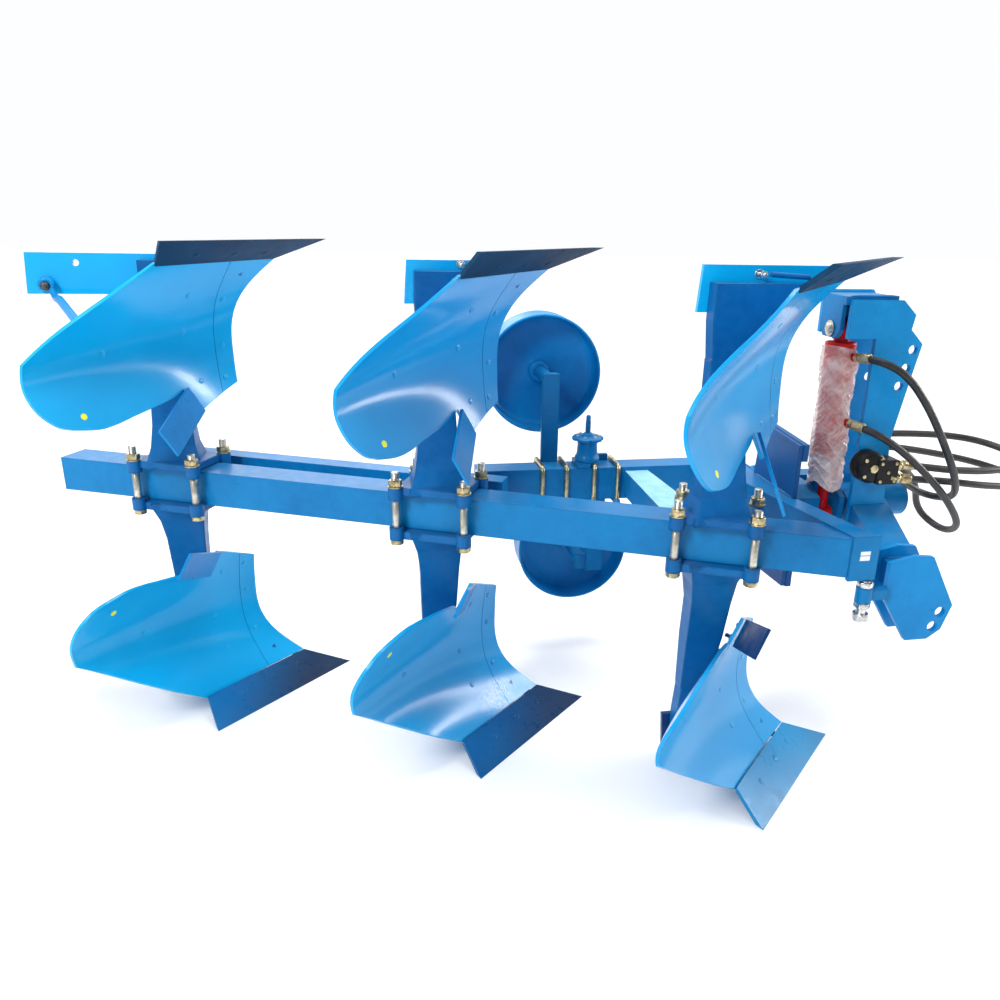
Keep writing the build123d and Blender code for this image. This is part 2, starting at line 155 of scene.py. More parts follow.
def edge_mask(nt, radius, low=0.0, high=0.10):
    """White along convex and concave edges, from the angle between the rounded and the true normal."""
    bev = nt.nodes.new("ShaderNodeBevel")
    bev.samples = 3
    bev.inputs["Radius"].default_value = radius
    geo = nt.nodes.new("ShaderNodeNewGeometry")
    dot = nt.nodes.new("ShaderNodeVectorMath")
    dot.operation = "DOT_PRODUCT"
    nt.links.new(bev.outputs[0], dot.inputs[0])
    nt.links.new(geo.outputs["Normal"], dot.inputs[1])
    inv = math_node(nt, "SUBTRACT", 1.0, dot.outputs["Value"], True)
    mr = nt.nodes.new("ShaderNodeMapRange")
    mr.inputs["From Min"].default_value = low
    mr.inputs["From Max"].default_value = high
    nt.links.new(inv, mr.inputs["Value"])
    return mr.outputs["Result"], bev.outputs[0]


def paint(name, deep, light, rough=0.3, round_mm=3.0, wear=0.5, dust=0.3, coat=0.06, wave=0.25, scale=1.0, floor_dirt=0.0, mottled=0.22, spec=0.14, grain=0.16, tip_shade=None, reflection_patch=None, vary=1.0):
    mat, nt, nodes, links = new_mat(name)
    out = nodes.new("ShaderNodeOutputMaterial")
    bsdf = nodes.new("ShaderNodeBsdfPrincipled")
    tc = nodes.new("ShaderNodeTexCoord")
    co = tc.outputs["Object"]
    broad = noise_node(nt, co, 3.2 * scale, 4)
    mottle = noise_node(nt, co, 34 * scale, 5, 0.6)
    fine = noise_node(nt, co, 260 * scale, 2)
    col = ramp(nt, broad, [(0.32, deep), (0.68, light)])
    col = mix(nt, grey(nt, mottle, [(0.35, 0.0), (0.75, mottled)]), col, tuple(min(1.0, c * 1.35 + 0.015) for c in light))
    if tip_shade:
        # painted shade: darker towards the tip, standing in for shade and the dark floor reflected there: (x of the
        # light end, x of the dark end, dark colour)
        along = nodes.new("ShaderNodeSeparateXYZ")
        links.new(co, along.inputs[0])
        shift = math_node(nt, "ADD", along.outputs["X"], grey(nt, broad, [(0.3, -0.03), (0.7, 0.03)]))
        part = nodes.new("ShaderNodeMapRange")
        part.interpolation_type = "SMOOTHSTEP"
        part.inputs["From Min"].default_value = tip_shade[0]
        part.inputs["From Max"].default_value = tip_shade[1]
        links.new(shift, part.inputs["Value"])
        col = mix(nt, part.outputs["Result"], col, tip_shade[2])
    if reflection_patch:
        # painted reflection: a pale grey patch broken up by noise, standing in for a reflection of the lights; centre,
        # half sizes
        away = nodes.new("ShaderNodeVectorMath")
        away.operation = "SUBTRACT"
        links.new(co, away.inputs[0])
        away.inputs[1].default_value = reflection_patch[0]
        scaled = nodes.new("ShaderNodeVectorMath")
        scaled.operation = "DIVIDE"
        links.new(away.outputs[0], scaled.inputs[0])
        scaled.inputs[1].default_value = reflection_patch[1]
        ln = nodes.new("ShaderNodeVectorMath")
        ln.operation = "LENGTH"
        links.new(scaled.outputs[0], ln.inputs[0])
        near = grey(nt, ln.outputs["Value"], [(0.35, 1.0), (1.0, 0.0)])
        bits = grey(nt, noise_node(nt, co, 95, 5, 0.7, 1.2), [(0.46, 0.0), (0.56, 1.0)])
        glint = math_node(nt, "MULTIPLY", math_node(nt, "MULTIPLY", near, bits), 0.85, True)
        col = mix(nt, glint, col, (0.62, 0.66, 0.70))
    # thin paint and rub marks along the edges
    em, rounded = edge_mask(nt, round_mm / 1000.0, 0.02, 0.16)
    spots = grey(nt, noise_node(nt, co, 75 * scale, 6, 0.7), [(0.50, 0.0), (0.62, 1.0)])
    worn = math_node(nt, "MULTIPLY", em, spots, True)
    worn = math_node(nt, "MULTIPLY", worn, wear, True)
    col = mix(nt, worn, col, (0.06, 0.085, 0.11))
    # dust that settles on level faces
    geo = nodes.new("ShaderNodeNewGeometry")
    sep = nodes.new("ShaderNodeSeparateXYZ")
    links.new(geo.outputs["Normal"], sep.inputs[0])
    up = grey(nt, sep.outputs["Z"], [(0.5, 0.0), (1.0, 1.0)])
    patch = grey(nt, noise_node(nt, co, 9 * scale, 6, 0.65), [(0.42, 0.0), (0.72, 1.0)])
    dusty = math_node(nt, "MULTIPLY", math_node(nt, "MULTIPLY", up, patch), dust, True)
    col = mix(nt, dusty, col, (0.20, 0.27, 0.33))
    if floor_dirt:
        pos = nodes.new("ShaderNodeSeparateXYZ")
        links.new(co, pos.inputs[0])
        low = grey(nt, math_node(nt, "MULTIPLY", pos.outputs["Z"], 1.0), [(0.0, 1.0), (0.045, 0.0)])
        soil = math_node(nt, "MULTIPLY", math_node(nt, "MULTIPLY", low, grey(nt, mottle, [(0.35, 0.2), (0.6, 1.0)])), floor_dirt, True)
        col = mix(nt, soil, col, (0.06, 0.045, 0.035))
    links.new(col, bsdf.inputs["Base Color"])
    r = math_node(nt, "ADD", grey(nt, mottle, [(0.3, rough - 0.07 * vary), (0.7, rough + 0.09 * vary)]), math_node(nt, "MULTIPLY", dusty, 0.4), True)
    links.new(r, bsdf.inputs["Roughness"])
    bsdf.inputs["Specular IOR Level"].default_value = spec
    bsdf.inputs["Coat Weight"].default_value = coat
    bsdf.inputs["Coat Roughness"].default_value = 0.14
    b1 = nodes.new("ShaderNodeBump")
    b1.inputs["Strength"].default_value = wave
    b1.inputs["Distance"].default_value = 0.0016
    links.new(noise_node(nt, co, 15 * scale, 2), b1.inputs["Height"])
    links.new(rounded, b1.inputs["Normal"])
    b2 = nodes.new("ShaderNodeBump")
    b2.inputs["Strength"].default_value = grain
    b2.inputs["Distance"].default_value = 0.0004
    links.new(fine, b2.inputs["Height"])
    links.new(b1.outputs[0], b2.inputs["Normal"])
    links.new(b2.outputs[0], bsdf.inputs["Normal"])
    links.new(bsdf.outputs[0], out.inputs[0])
    return mat


def metal(name, deep, light, rough=0.3, metallic=1.0, streak=60.0, round_mm=1.0):
    mat, nt, nodes, links = new_mat(name)
    out = nodes.new("ShaderNodeOutputMaterial")
    bsdf = nodes.new("ShaderNodeBsdfPrincipled")
    co = nodes.new("ShaderNodeTexCoord").outputs["Object"]
    n1 = noise_node(nt, co, streak, 5, 0.6)
    n2 = noise_node(nt, co, 420, 3)
    col = ramp(nt, n1, [(0.32, deep), (0.66, light)])
    em, rounded = edge_mask(nt, round_mm / 1000.0, 0.02, 0.2)
    col = mix(nt, math_node(nt, "MULTIPLY", em, 0.35), col, tuple(min(1.0, c * 1.3) for c in light))
    links.new(col, bsdf.inputs["Base Color"])
    bsdf.inputs["Metallic"].default_value = metallic
    links.new(grey(nt, n1, [(0.3, rough + 0.12), (0.7, rough - 0.05)]), bsdf.inputs["Roughness"])
    b = nodes.new("ShaderNodeBump")
    b.inputs["Strength"].default_value = 0.25
    b.inputs["Distance"].default_value = 0.0003
    links.new(n2, b.inputs["Height"])
    links.new(rounded, b.inputs["Normal"])
    links.new(b.outputs[0], bsdf.inputs["Normal"])
    links.new(bsdf.outputs[0], out.inputs[0])
    return mat


def rubber(name):
    mat, nt, nodes, links = new_mat(name)
    out = nodes.new("ShaderNodeOutputMaterial")
    bsdf = nodes.new("ShaderNodeBsdfPrincipled")
    co = nodes.new("ShaderNodeTexCoord").outputs["Object"]
    n1 = noise_node(nt, co, 22, 5)
    n2 = noise_node(nt, co, 500, 3)
    links.new(ramp(nt, n1, [(0.35, (0.010, 0.010, 0.011)), (0.72, (0.035, 0.033, 0.031))]), bsdf.inputs["Base Color"])
    links.new(grey(nt, n1, [(0.3, 0.38), (0.7, 0.58)]), bsdf.inputs["Roughness"])
    b = nodes.new("ShaderNodeBump")
    b.inputs["Strength"].default_value = 0.35
    b.inputs["Distance"].default_value = 0.0004
    links.new(n2, b.inputs["Height"])
    links.new(b.outputs[0], bsdf.inputs["Normal"])
    links.new(bsdf.outputs[0], out.inputs[0])
    return mat


def film_mat(name):
    mat, nt, nodes, links = new_mat(name)
    out = nodes.new("ShaderNodeOutputMaterial")
    bsdf = nodes.new("ShaderNodeBsdfPrincipled")
    co = nodes.new("ShaderNodeTexCoord").outputs["Object"]
    fold = noise_node(nt, co, 9, 2, 0.5, 1.2)
    crease = noise_node(nt, co, 21, 3, 0.5, 1.6)
    links.new(ramp(nt, fold, [(0.3, (0.84, 0.54, 0.48)), (0.7, (0.95, 0.80, 0.74))]), bsdf.inputs["Base Color"])
    pos = nodes.new("ShaderNodeSeparateXYZ")
    links.new(co, pos.inputs[0])
    # more layers over each other towards the loose lower end
    layers = grey(nt, math_node(nt, "SUBTRACT", 1.10, pos.outputs["Z"]), [(0.200, 0.0), (0.270, 0.38)])
    veins = grey(nt, crease, [(0.40, 0.0), (0.50, 0.20), (0.60, 0.0)])
    a = math_node(nt, "ADD", math_node(nt, "ADD", grey(nt, fold, [(0.36, 0.30), (0.64, 0.54)]), veins, True), layers, True)
    links.new(a, bsdf.inputs["Alpha"])
    bsdf.inputs["Roughness"].default_value = 0.20
    bsdf.inputs["Specular IOR Level"].default_value = 0.7
    b = nodes.new("ShaderNodeBump")
    b.inputs["Strength"].default_value = 0.40
    b.inputs["Distance"].default_value = 0.004
    links.new(crease, b.inputs["Height"])
    links.new(b.outputs[0], bsdf.inputs["Normal"])
    links.new(bsdf.outputs[0], out.inputs[0])
    return mat


FRAME = paint("frame_paint", (0.001, 0.128, 0.34), (0.002, 0.180, 0.43), rough=0.34, round_mm=5.0, wear=0.35, dust=0.22)
PLATE = paint("plate_paint", (0.001, 0.165, 0.44), (0.002, 0.235, 0.56), rough=0.33, round_mm=2.5, wear=0.4, dust=0.12)
CAST = paint("cast_paint", (0.001, 0.078, 0.25), (0.002, 0.125, 0.35), rough=0.38, round_mm=9.0, wear=0.35, dust=0.15, wave=0.5)
# painted light: brighter copy of the frame paint for the mast plates, which are strongly lit
LIT_MAST = paint("mast_painted_light", (0.001, 0.215, 0.52), (0.002, 0.290, 0.66), rough=0.33, round_mm=2.5, wear=0.4, dust=0.12)
WHEEL = paint("wheel_paint", (0.001, 0.036, 0.145), (0.002, 0.070, 0.23), rough=0.30, round_mm=3.0, wear=0.4, dust=0.10, spec=0.2)
BOARD = paint("board_paint", (0.001, 0.320, 0.66), (0.002, 0.400, 0.77), rough=0.22, round_mm=2.0, wear=0.2, dust=0.0, coat=0.3, wave=0.08, scale=0.6, mottled=0.03, spec=0.2, grain=0.03, vary=0.35)
# painted shade: darker copies of the board paint for the middle and front bodies; the rear board is painted as the
# brightest lit
BOARD_SHADED_MIDDLE = paint("board_painted_shade_middle", (0.001, 0.225, 0.54), (0.002, 0.285, 0.64), rough=0.22, round_mm=2.0, wear=0.2, dust=0.0, coat=0.3, wave=0.08, scale=0.6, mottled=0.03, spec=0.2, grain=0.03, vary=0.35)
BOARD_SHADED_FRONT = paint("board_painted_shade_front", (0.001, 0.255, 0.58), (0.002, 0.315, 0.68), rough=0.22, round_mm=2.0, wear=0.2, dust=0.0, coat=0.3, wave=0.08, scale=0.6, mottled=0.03, spec=0.2, grain=0.03, vary=0.35)
BOARD_OF = {"rear": BOARD, "middle": BOARD_SHADED_MIDDLE, "front": BOARD_SHADED_FRONT}
# painted reflection: the lower middle board gets a pale grey patch near the share, on a slightly darker board paint
REFLECTION_BOARD = paint("board_painted_reflection", (0.001, 0.290, 0.63), (0.002, 0.350, 0.73), rough=0.22, round_mm=2.0, wear=0.2, dust=0.0, coat=0.3, wave=0.08, scale=0.6, mottled=0.03, spec=0.2, grain=0.03, vary=0.35,
                reflection_patch=((0.075, 0.000, 0.105), (0.115, 0.115, 0.055)))
SHARE = paint("share_paint", (0.002, 0.190, 0.42), (0.003, 0.250, 0.52), rough=0.30, round_mm=1.2, wear=0.7, dust=0.05, coat=0.1, floor_dirt=0.25, mottled=0.1, grain=0.06)
# painted shade: darker copies of the share paint for the lower rear and middle shares, going darker still towards the
# tip
SHADED_SHARE = {
    "rear": paint("share_paint_rear", (0.002, 0.120, 0.34), (0.003, 0.165, 0.42), rough=0.30, round_mm=1.2, wear=0.6, dust=0.03, coat=0.1, floor_dirt=0.2, mottled=0.1, grain=0.06,
                  tip_shade=(-0.80, -0.50, (0.004, 0.026, 0.075))),
    "middle": paint("share_paint_middle", (0.002, 0.085, 0.26), (0.003, 0.120, 0.33), rough=0.30, round_mm=1.2, wear=0.6, dust=0.03, coat=0.1, floor_dirt=0.2, mottled=0.1, grain=0.06,
                    tip_shade=(-0.04, 0.22, (0.003, 0.028, 0.085))),
}
# painted shade: near-black copy of the share paint for the upper shares, whose visible faces are undersides in shade
UPPER_SHARE_SHADED = paint("share_paint_upper", (0.004, 0.024, 0.060), (0.008, 0.050, 0.115), rough=0.50, round_mm=1.2, wear=0.5, dust=0.06, coat=0.0, spec=0.05)
# painted shade: near-black blue for the lower landsides and the front lower trash plate, which lie in shade
SHADOW_NAVY = paint("painted_shade_dark", (0.002, 0.020, 0.085), (0.003, 0.034, 0.13), rough=0.36, round_mm=1.2, wear=0.4, dust=0.08)
# painted reflection: pale copy of the frame paint for the top face of the cross brace
PALE_REFLECTION = paint("painted_reflection_top", (0.16, 0.42, 0.56), (0.34, 0.62, 0.72), rough=0.45, round_mm=3.0, wear=0.3, dust=0.1, mottled=0.5)
# painted shade: darker copy of the frame paint for the turnover walls, which lie in shade
SHADE = paint("wall_painted_shade", (0.001, 0.070, 0.24), (0.002, 0.105, 0.32), rough=0.38, round_mm=2.5, wear=0.4, dust=0.12)
RED = paint("red_paint", (0.45, 0.004, 0.006), (0.68, 0.010, 0.012), rough=0.28, round_mm=2.0, wear=0.2, dust=0.03)
BLACK = paint("black_paint", (0.006, 0.006, 0.007), (0.018, 0.018, 0.020), rough=0.42, round_mm=2.0, wear=0.1, dust=0.08)
ZINC = metal("zinc", (0.36, 0.34, 0.28), (0.66, 0.64, 0.56), 0.32)
BRASSY = metal("yellow_zinc", (0.34, 0.27, 0.13), (0.62, 0.53, 0.32), 0.30)
STEEL = metal("bright_steel", (0.42, 0.42, 0.42), (0.72, 0.72, 0.70), 0.26)
DARK = metal("dark_steel", (0.05, 0.052, 0.055), (0.13, 0.13, 0.13), 0.45)
RUBBER = rubber("hose_rubber")
FILM = film_mat("clear_film")
STICKER = paint("yellow_sticker", (0.72, 0.74, 0.02), (0.84, 0.86, 0.05), rough=0.45, round_mm=0.5, wear=0.1, dust=0.0)
BLANK = paint("white_mark", (0.66, 0.70, 0.72), (0.80, 0.83, 0.84), rough=0.5, round_mm=0.5, wear=0.4, dust=0.1)

# ------------------------------------------------------------------ mesh helpers
BODY_OF = {}
for body, names in frame["record"]["behaviour"]["bodies"].items():
    for n in names:
        BODY_OF[n] = body


class Mesh:
    def __init__(self):
        self.v, self.f = [], []

    def add(self, verts, faces):
        o = len(self.v)
        self.v += [tuple(q) for q in verts]
        self.f += [tuple(i + o for i in q) for q in faces]
        return self

    def build(self, name, mat, body, angle=35.0, replaces=(), slot=None):
        me = bpy.data.meshes.new(name)
        me.from_pydata(self.v, [], self.f)
        me.validate()
        me.update()
        bm = bmesh.new()
        bm.from_mesh(me)
        bmesh.ops.recalc_face_normals(bm, faces=bm.faces)
        bm.to_mesh(me)
        bm.free()
        me.shade_smooth()
        me.set_sharp_from_angle(angle=math.radians(angle))
        ob = bpy.data.objects.new(name, me)
        bpy.context.collection.objects.link(ob)
        me.materials.append(mat)
        if body:
            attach(ob, body)
        if replaces:
            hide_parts(*replaces)
        return ob


def axes(direction):
    d = Vector(direction).normalized()
    a = Vector((0, 0, 1)) if abs(d.z) < 0.9 else Vector((1, 0, 0))
    u = d.cross(a).normalized()
    return u, d.cross(u).normalized(), d


def lathe(mesh, origin, direction, profile, seg=32, radius_at=None):
    """profile: (distance along the axis, radius), metres; closed at both ends where the radius is 0."""
    u, w, d = axes(direction)
    verts, faces = [], []
    n = len(profile)
    for i, (a, r) in enumerate(profile):
        for k in range(seg):
            t = 2 * math.pi * k / seg
            rr = r if radius_at is None else radius_at(i, r, t)
            verts.append(origin + d * a + (u * math.cos(t) + w * math.sin(t)) * rr)
    for i in range(n - 1):
        for k in range(seg):
            k2 = (k + 1) % seg
            faces.append((i * seg + k, i * seg + k2, (i + 1) * seg + k2, (i + 1) * seg + k))
    faces.append(tuple(range(seg - 1, -1, -1)))
    faces.append(tuple((n - 1) * seg + k for k in range(seg)))
    return mesh.add(verts, faces)


def hexagon(mesh, origin, direction, af, h, turn=0.0, chamfer_both=True, bore=0.0):
    """Hexagon nut or head with turned corners."""
    u, w, d = axes(direction)
    seg = 36
    rc = af / 2 / math.cos(math.radians(30))

    def hexr(t, cap):
        q = (t + turn) % (math.pi / 3) - math.pi / 6
        return min(af / 2 / math.cos(q), cap)
    c = (rc - af / 2) * 0.55
    rows = [(0, af / 2 * 0.985), (c, rc), (h - c, rc), (h, af / 2 * 0.985)]
    if not chamfer_both:
        rows[0] = (0, rc)
    verts, faces = [], []
    for a, cap in rows:
        for k in range(seg):
            t = 2 * math.pi * k / seg
            verts.append(origin + d * a + (u * math.cos(t) + w * math.sin(t)) * hexr(t, cap))
    n = len(rows)
    for i in range(n - 1):
        for k in range(seg):
            k2 = (k + 1) % seg
            faces.append((i * seg + k, i * seg + k2, (i + 1) * seg + k2, (i + 1) * seg + k))
    faces.append(tuple(range(seg - 1, -1, -1)))
    faces.append(tuple((n - 1) * seg + k for k in range(seg)))
    return mesh.add(verts, faces)


def thread(mesh, a, b, r, pitch=0.0025, depth=0.0012, seg=20):
    a, b = Vector(a), Vector(b)
    length = (b - a).length
    n = max(2, int(length / pitch))
    prof = [(0.0, r - 2 * depth)]
    for i in range(n):
        z = length * i / n
        prof += [(z + 0.0004, r - depth), (z + length / n * 0.5, r)]
    prof += [(length - 0.0004, r - depth), (length, r - 2 * depth)]
    return lathe(mesh, a, b - a, prof, seg)


def washer(mesh, origin, direction, r, h):
    return lathe(mesh, origin, direction, [(0, r - 0.0006), (0.0006, r), (h - 0.0006, r), (h, r - 0.0006)], 32)


def tube(mesh, pts, r, seg=12, closed_ends=True, radius=None):
    """Round bar along a list of points."""
    pts = [Vector(p) for p in pts]
    n = len(pts)
    tans = []
    for i in range(n):
        a, b = pts[max(0, i - 1)], pts[min(n - 1, i + 1)]
        tans.append((b - a).normalized())
    u = axes(tans[0])[0]
    verts, faces = [], []
    for i in range(n):
        d = tans[i]
        u = (u - d * u.dot(d)).normalized()
        w = d.cross(u)
        rr = r if radius is None else radius(i)
        for k in range(seg):
            t = 2 * math.pi * k / seg
            verts.append(pts[i] + (u * math.cos(t) + w * math.sin(t)) * rr)
    for i in range(n - 1):
        for k in range(seg):
            k2 = (k + 1) % seg
            faces.append((i * seg + k, i * seg + k2, (i + 1) * seg + k2, (i + 1) * seg + k))
    if closed_ends:
        faces.append(tuple(range(seg - 1, -1, -1)))
        faces.append(tuple((n - 1) * seg + k for k in range(seg)))
    return mesh.add(verts, faces)


def weld(mesh, a, b, r=0.0045, seed=0.0):
    """Weld bead in a corner, with its ripples."""
    a, b = Vector(a), Vector(b)
    length = (b - a).length
    n = max(4, int(length / 0.0022))
    pts, rad = [], []
    side = axes(b - a)[0]
    for i in range(n + 1):
        q = a.lerp(b, i / n)
        wob = noise.noise(Vector((q.x * 30 + seed, q.y * 30, q.z * 30))) * 0.0012
        pts.append(q + side * wob)
        ripple = 0.82 + 0.18 * abs(math.sin(math.pi * i * 0.0022 / 0.0065))
        end = min(1.0, 0.35 + 4.0 * min(i, n - i) / n)
        rad.append(r * ripple * min(1.0, end) * (1 + wob * 120))
    return tube(mesh, pts, r, 8, True, lambda i: rad[i])


def welds(name, body, pairs, r=0.0045, mat=None):
    ms = Mesh()
    for k, (a, b) in enumerate(pairs):
        weld(ms, P(*a), P(*b), r, k * 7.3)
    return ms.build(name, mat or FRAME, body, 60)


# ------------------------------------------------------------------ CAD nodes keep their shape
def look(node):
    if "leg" in node:
        return CAST
    if "share" in node:
        # painted shade: upper shares and the lower rear and middle shares get darkened copies of the share paint
        return UPPER_SHARE_SHADED if node.startswith("upper") else SHADED_SHARE.get(node.split("_")[2], SHARE)
    # painted shade: the lower landsides are painted dark
    if node == "lower_landsides":
        return SHADOW_NAVY
    if "moldboard" in node or "landsides" in node:
        return BOARD
    if node.startswith("gauge_wheel"):
        return WHEEL
    if "turnover_wall" in node:
        return SHADE
    if node.startswith("mast_plate"):
        return LIT_MAST
    if node in ("trash_plates", "tail_stays") or node.startswith("hitch_plates"):
        return PLATE
    if node in ("cylinder_barrel", "cylinder_rod"):
        return RED
    if node in ("clamp_studs", "wheel_u_bolts", "stop_bolts", "cylinder_top_pin"):
        return ZINC
    if node == "turnover_shaft":
        return STEEL
    if node == "control_valve":
        return BLACK
    if node == "hose_couplers":
        return BRASSY
    if node.startswith(("cylinder_hose", "supply_hose")):
        return RUBBER
    return FRAME


for name, ob in [(n, bpy.data.objects[n]) for n in BODY_OF]:
    mat = look(name)
    ob.data.materials.clear()
    ob.data.materials.append(mat)
    for poly in ob.data.polygons:
        poly.material_index = 0
    if name == "trash_plates":
        # painted shade: the one on the front lower body is painted dark, as it lies in shade
        ob.data.materials.append(SHADOW_NAVY)
        for poly in ob.data.polygons:
            if poly.center.x > 0.3 and poly.center.z < 0.69:
                poly.material_index = 1
    if name == "cross_brace":
        # painted reflection: the top face painted pale, with a little dust
        ob.data.materials.append(PALE_REFLECTION)
        for poly in ob.data.polygons:
            if poly.normal.z > 0.9:
                poly.material_index = 1

# ------------------------------------------------------------------ hoses
HOSE_R = 0.010
HOSES = {
    "cylinder_hose_upper": [(647, -241, 430), (668, -297, 434), (736, -325, 400), (800, -345, 318), (858, -358, 218),
                            (918, -352, 118), (972, -290, 42), (952, -205, 22), (870, -212, 62), (790, -262, 112)],
    "cylinder_hose_lower": [(654, -245, 250), (684, -296, 243), (757, -312, 200), (842, -322, 132), (932, -322, 45),
                            (1012, -288, -48), (1030, -195, -95), (975, -135, -45), (928, -178, 50), (862, -215, 106),
                            (790, -262, 140)],
    "supply_hose_upper": [(790, -290, 146), (850, -294, 140), (950, -302, 128), (1060, -300, 122), (1175, -270, 122),
                          (1240, -180, 132), (1190, -90, 150), (1085, -66, 165), (965, -62, 172), (880, -62, 174),
                          (800, -62, 174)],
    "supply_hose_lower": [(790, -290, 108), (850, -286, 101), (950, -280, 90), (1060, -290, 76), (1185, -268, 62),
                          (1262, -180, 62), (1205, -88, 78), (1090, -64, 102), (965, -60, 124), (880, -60, 134),
                          (800, -60, 136)],
}


def route(name, pts):
    cu = bpy.data.curves.new(name, "CURVE")
    cu.dimensions = "3D"
    sp = cu.splines.new("NURBS")
    sp.points.add(len(pts) - 1)
    for q, p in zip(sp.points, pts):
        q.co = (*P(*p), 1.0)
    sp.order_u = 3
    sp.use_endpoint_u = True
    sp.resolution_u = 12
    cu.resolution_u = 12
    ob = bpy.data.objects.new(name, cu)
    bpy.context.collection.objects.link(ob)
    return ob


def line_of(ob):
    """Points of the route's own smooth line."""
    dg = bpy.context.evaluated_depsgraph_get()
    me = bpy.data.meshes.new_from_object(ob.evaluated_get(dg))
    pts = [ob.matrix_world @ v.co for v in me.vertices]
    bpy.data.meshes.remove(me)
    return pts


def path_length(pts):
    return sum((b - a).length for a, b in zip(pts, pts[1:]))


for name, pts in HOSES.items():
    curve = route("route_" + name, pts)
    line = line_of(curve)
    length = path_length(line)
    if name.startswith("supply"):
        curve.data.bevel_depth = HOSE_R
        curve.data.bevel_resolution = 6
        curve.data.use_fill_caps = True
        curve.data.materials.append(RUBBER)
        curve.name = curve.data.name = "hose_" + name
        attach(curve, "headstock")
        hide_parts(name)
        piece = curve
    else:
        bpy.data.objects.remove(curve)
        ms = Mesh()
        tube(ms, line, HOSE_R, 20)
        piece = ms.build("hose_" + name, RUBBER, None, 60)
        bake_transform(piece)
        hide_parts(name)


def fitting(mesh_z, name_pts, end, back):
    """Crimped sleeve, hexagon and nipple of a hose end; back is the length of the nipple behind the hose end."""
    a = P(*name_pts[0 if end == 0 else -1])
    b = P(*name_pts[1 if end == 0 else -2])
    d = (b - a).normalized()
    prof = [(-0.002, 0.0102), (0.000, 0.0128), (0.003, 0.0134)]
    for i in range(4):
        s = 0.005 + i * 0.006
        prof += [(s, 0.0134), (s + 0.0012, 0.0124), (s + 0.0024, 0.0124), (s + 0.0036, 0.0134)]
    prof += [(0.030, 0.0134), (0.032, 0.0122)]
    lathe(mesh_z, a, d, prof, 28)
    hexagon(mesh_z, a - d * 0.014, d, 0.024, 0.011, 0.2)
    lathe(mesh_z, a - d * back, d, [(0, 0.0096), (0.001, 0.0105), (back - 0.014, 0.0105), (back - 0.0135, 0.0095), (back - 0.001, 0.0095)], 24)


fit_c, fit_h = Mesh(), Mesh()
fitting(fit_c, HOSES["cylinder_hose_upper"], 0, 0.036)
fitting(fit_c, HOSES["cylinder_hose_lower"], 0, 0.036)
for k in HOSES:
    fitting(fit_h, HOSES[k], -1 if k.startswith("cylinder") else 0, 0.034)
fit_c.build("barrel_hose_ends", BRASSY, "cylinder_body", 40, slot="zinc_plate")
fit_h.build("valve_hose_ends", BRASSY, "headstock", 40, slot="zinc_plate")

# ------------------------------------------------------------------ moldboards
SECTIONS = [
    # height, shin x, outer x, outer y, sagitta of the arc
    (57.0, -150.0, -440.0, -300.0, 3.6), (130.0, -229.0, -541.0, -381.0, 18.0), (230.0, -281.0, -694.0, -483.0, 37.0),
    (330.0, -286.0, -738.0, -506.0, 32.0), (400.0, -283.0, -725.0, -531.0, 20.0), (480.0, -270.0, -704.0, -556.0, 6.0)]
A0, D0, N0 = np.array([-284.0, 0.0]), np.array([-0.662, -0.7495]), np.array([0.7495, -0.662])
BOARD_T = 9.0
BODIES = {"rear": (-737.0, 337.9), "middle": (0.0, 0.0), "front": (680.0, -312.4)}


def cubic(xs, ys):
    """Natural cubic through the points, as a function."""
    xs, ys = np.array(xs, float), np.array(ys, float)
    n = len(xs)
    h = np.diff(xs)
    a = np.zeros((n, n))
    r = np.zeros(n)
    a[0, 0] = a[-1, -1] = 1
    for i in range(1, n - 1):
        a[i, i - 1], a[i, i], a[i, i + 1] = h[i - 1], 2 * (h[i - 1] + h[i]), h[i]
        r[i] = 6 * ((ys[i + 1] - ys[i]) / h[i] - (ys[i] - ys[i - 1]) / h[i - 1])
    mm = np.linalg.solve(a, r)

    def f(x):
        i = int(np.clip(np.searchsorted(xs, x) - 1, 0, n - 2))
        p, q = xs[i + 1] - x, x - xs[i]
        return (mm[i] * p ** 3 + mm[i + 1] * q ** 3) / (6 * h[i]) + (ys[i] / h[i] - mm[i] * h[i] / 6) * p + \
            (ys[i + 1] / h[i] - mm[i + 1] * h[i] / 6) * q
    return f


ZS = [s[0] for s in SECTIONS]
F = [cubic(ZS, [s[k] for s in SECTIONS]) for k in (1, 2, 3, 4)]
S_GRID = np.linspace(-0.03, 1.03, 241)
_cache = {}


def section_line(z):
    key = round(z, 2)
    if key not in _cache:
        xs, xo, yo, sag = (f(z) for f in F)
        a, b = np.array([xs, 0.0]), np.array([xo, yo])
        d = (b - a) / np.linalg.norm(b - a)
        back = np.array([d[1], -d[0]])
        if back[1] < 0:
            back = -back
        pts = a + np.outer(S_GRID, b - a) + np.outer(4 * sag * S_GRID * (1 - S_GRID), back)
        rel = pts - A0
        _cache[key] = (rel @ D0, rel @ N0)
    return _cache[key]


def depth(t, z):
    tt, nn = section_line(z)
    return float(np.interp(t, tt, nn))


def shin_t(z):
    return float((F[0](z) - A0[0]) * D0[0])


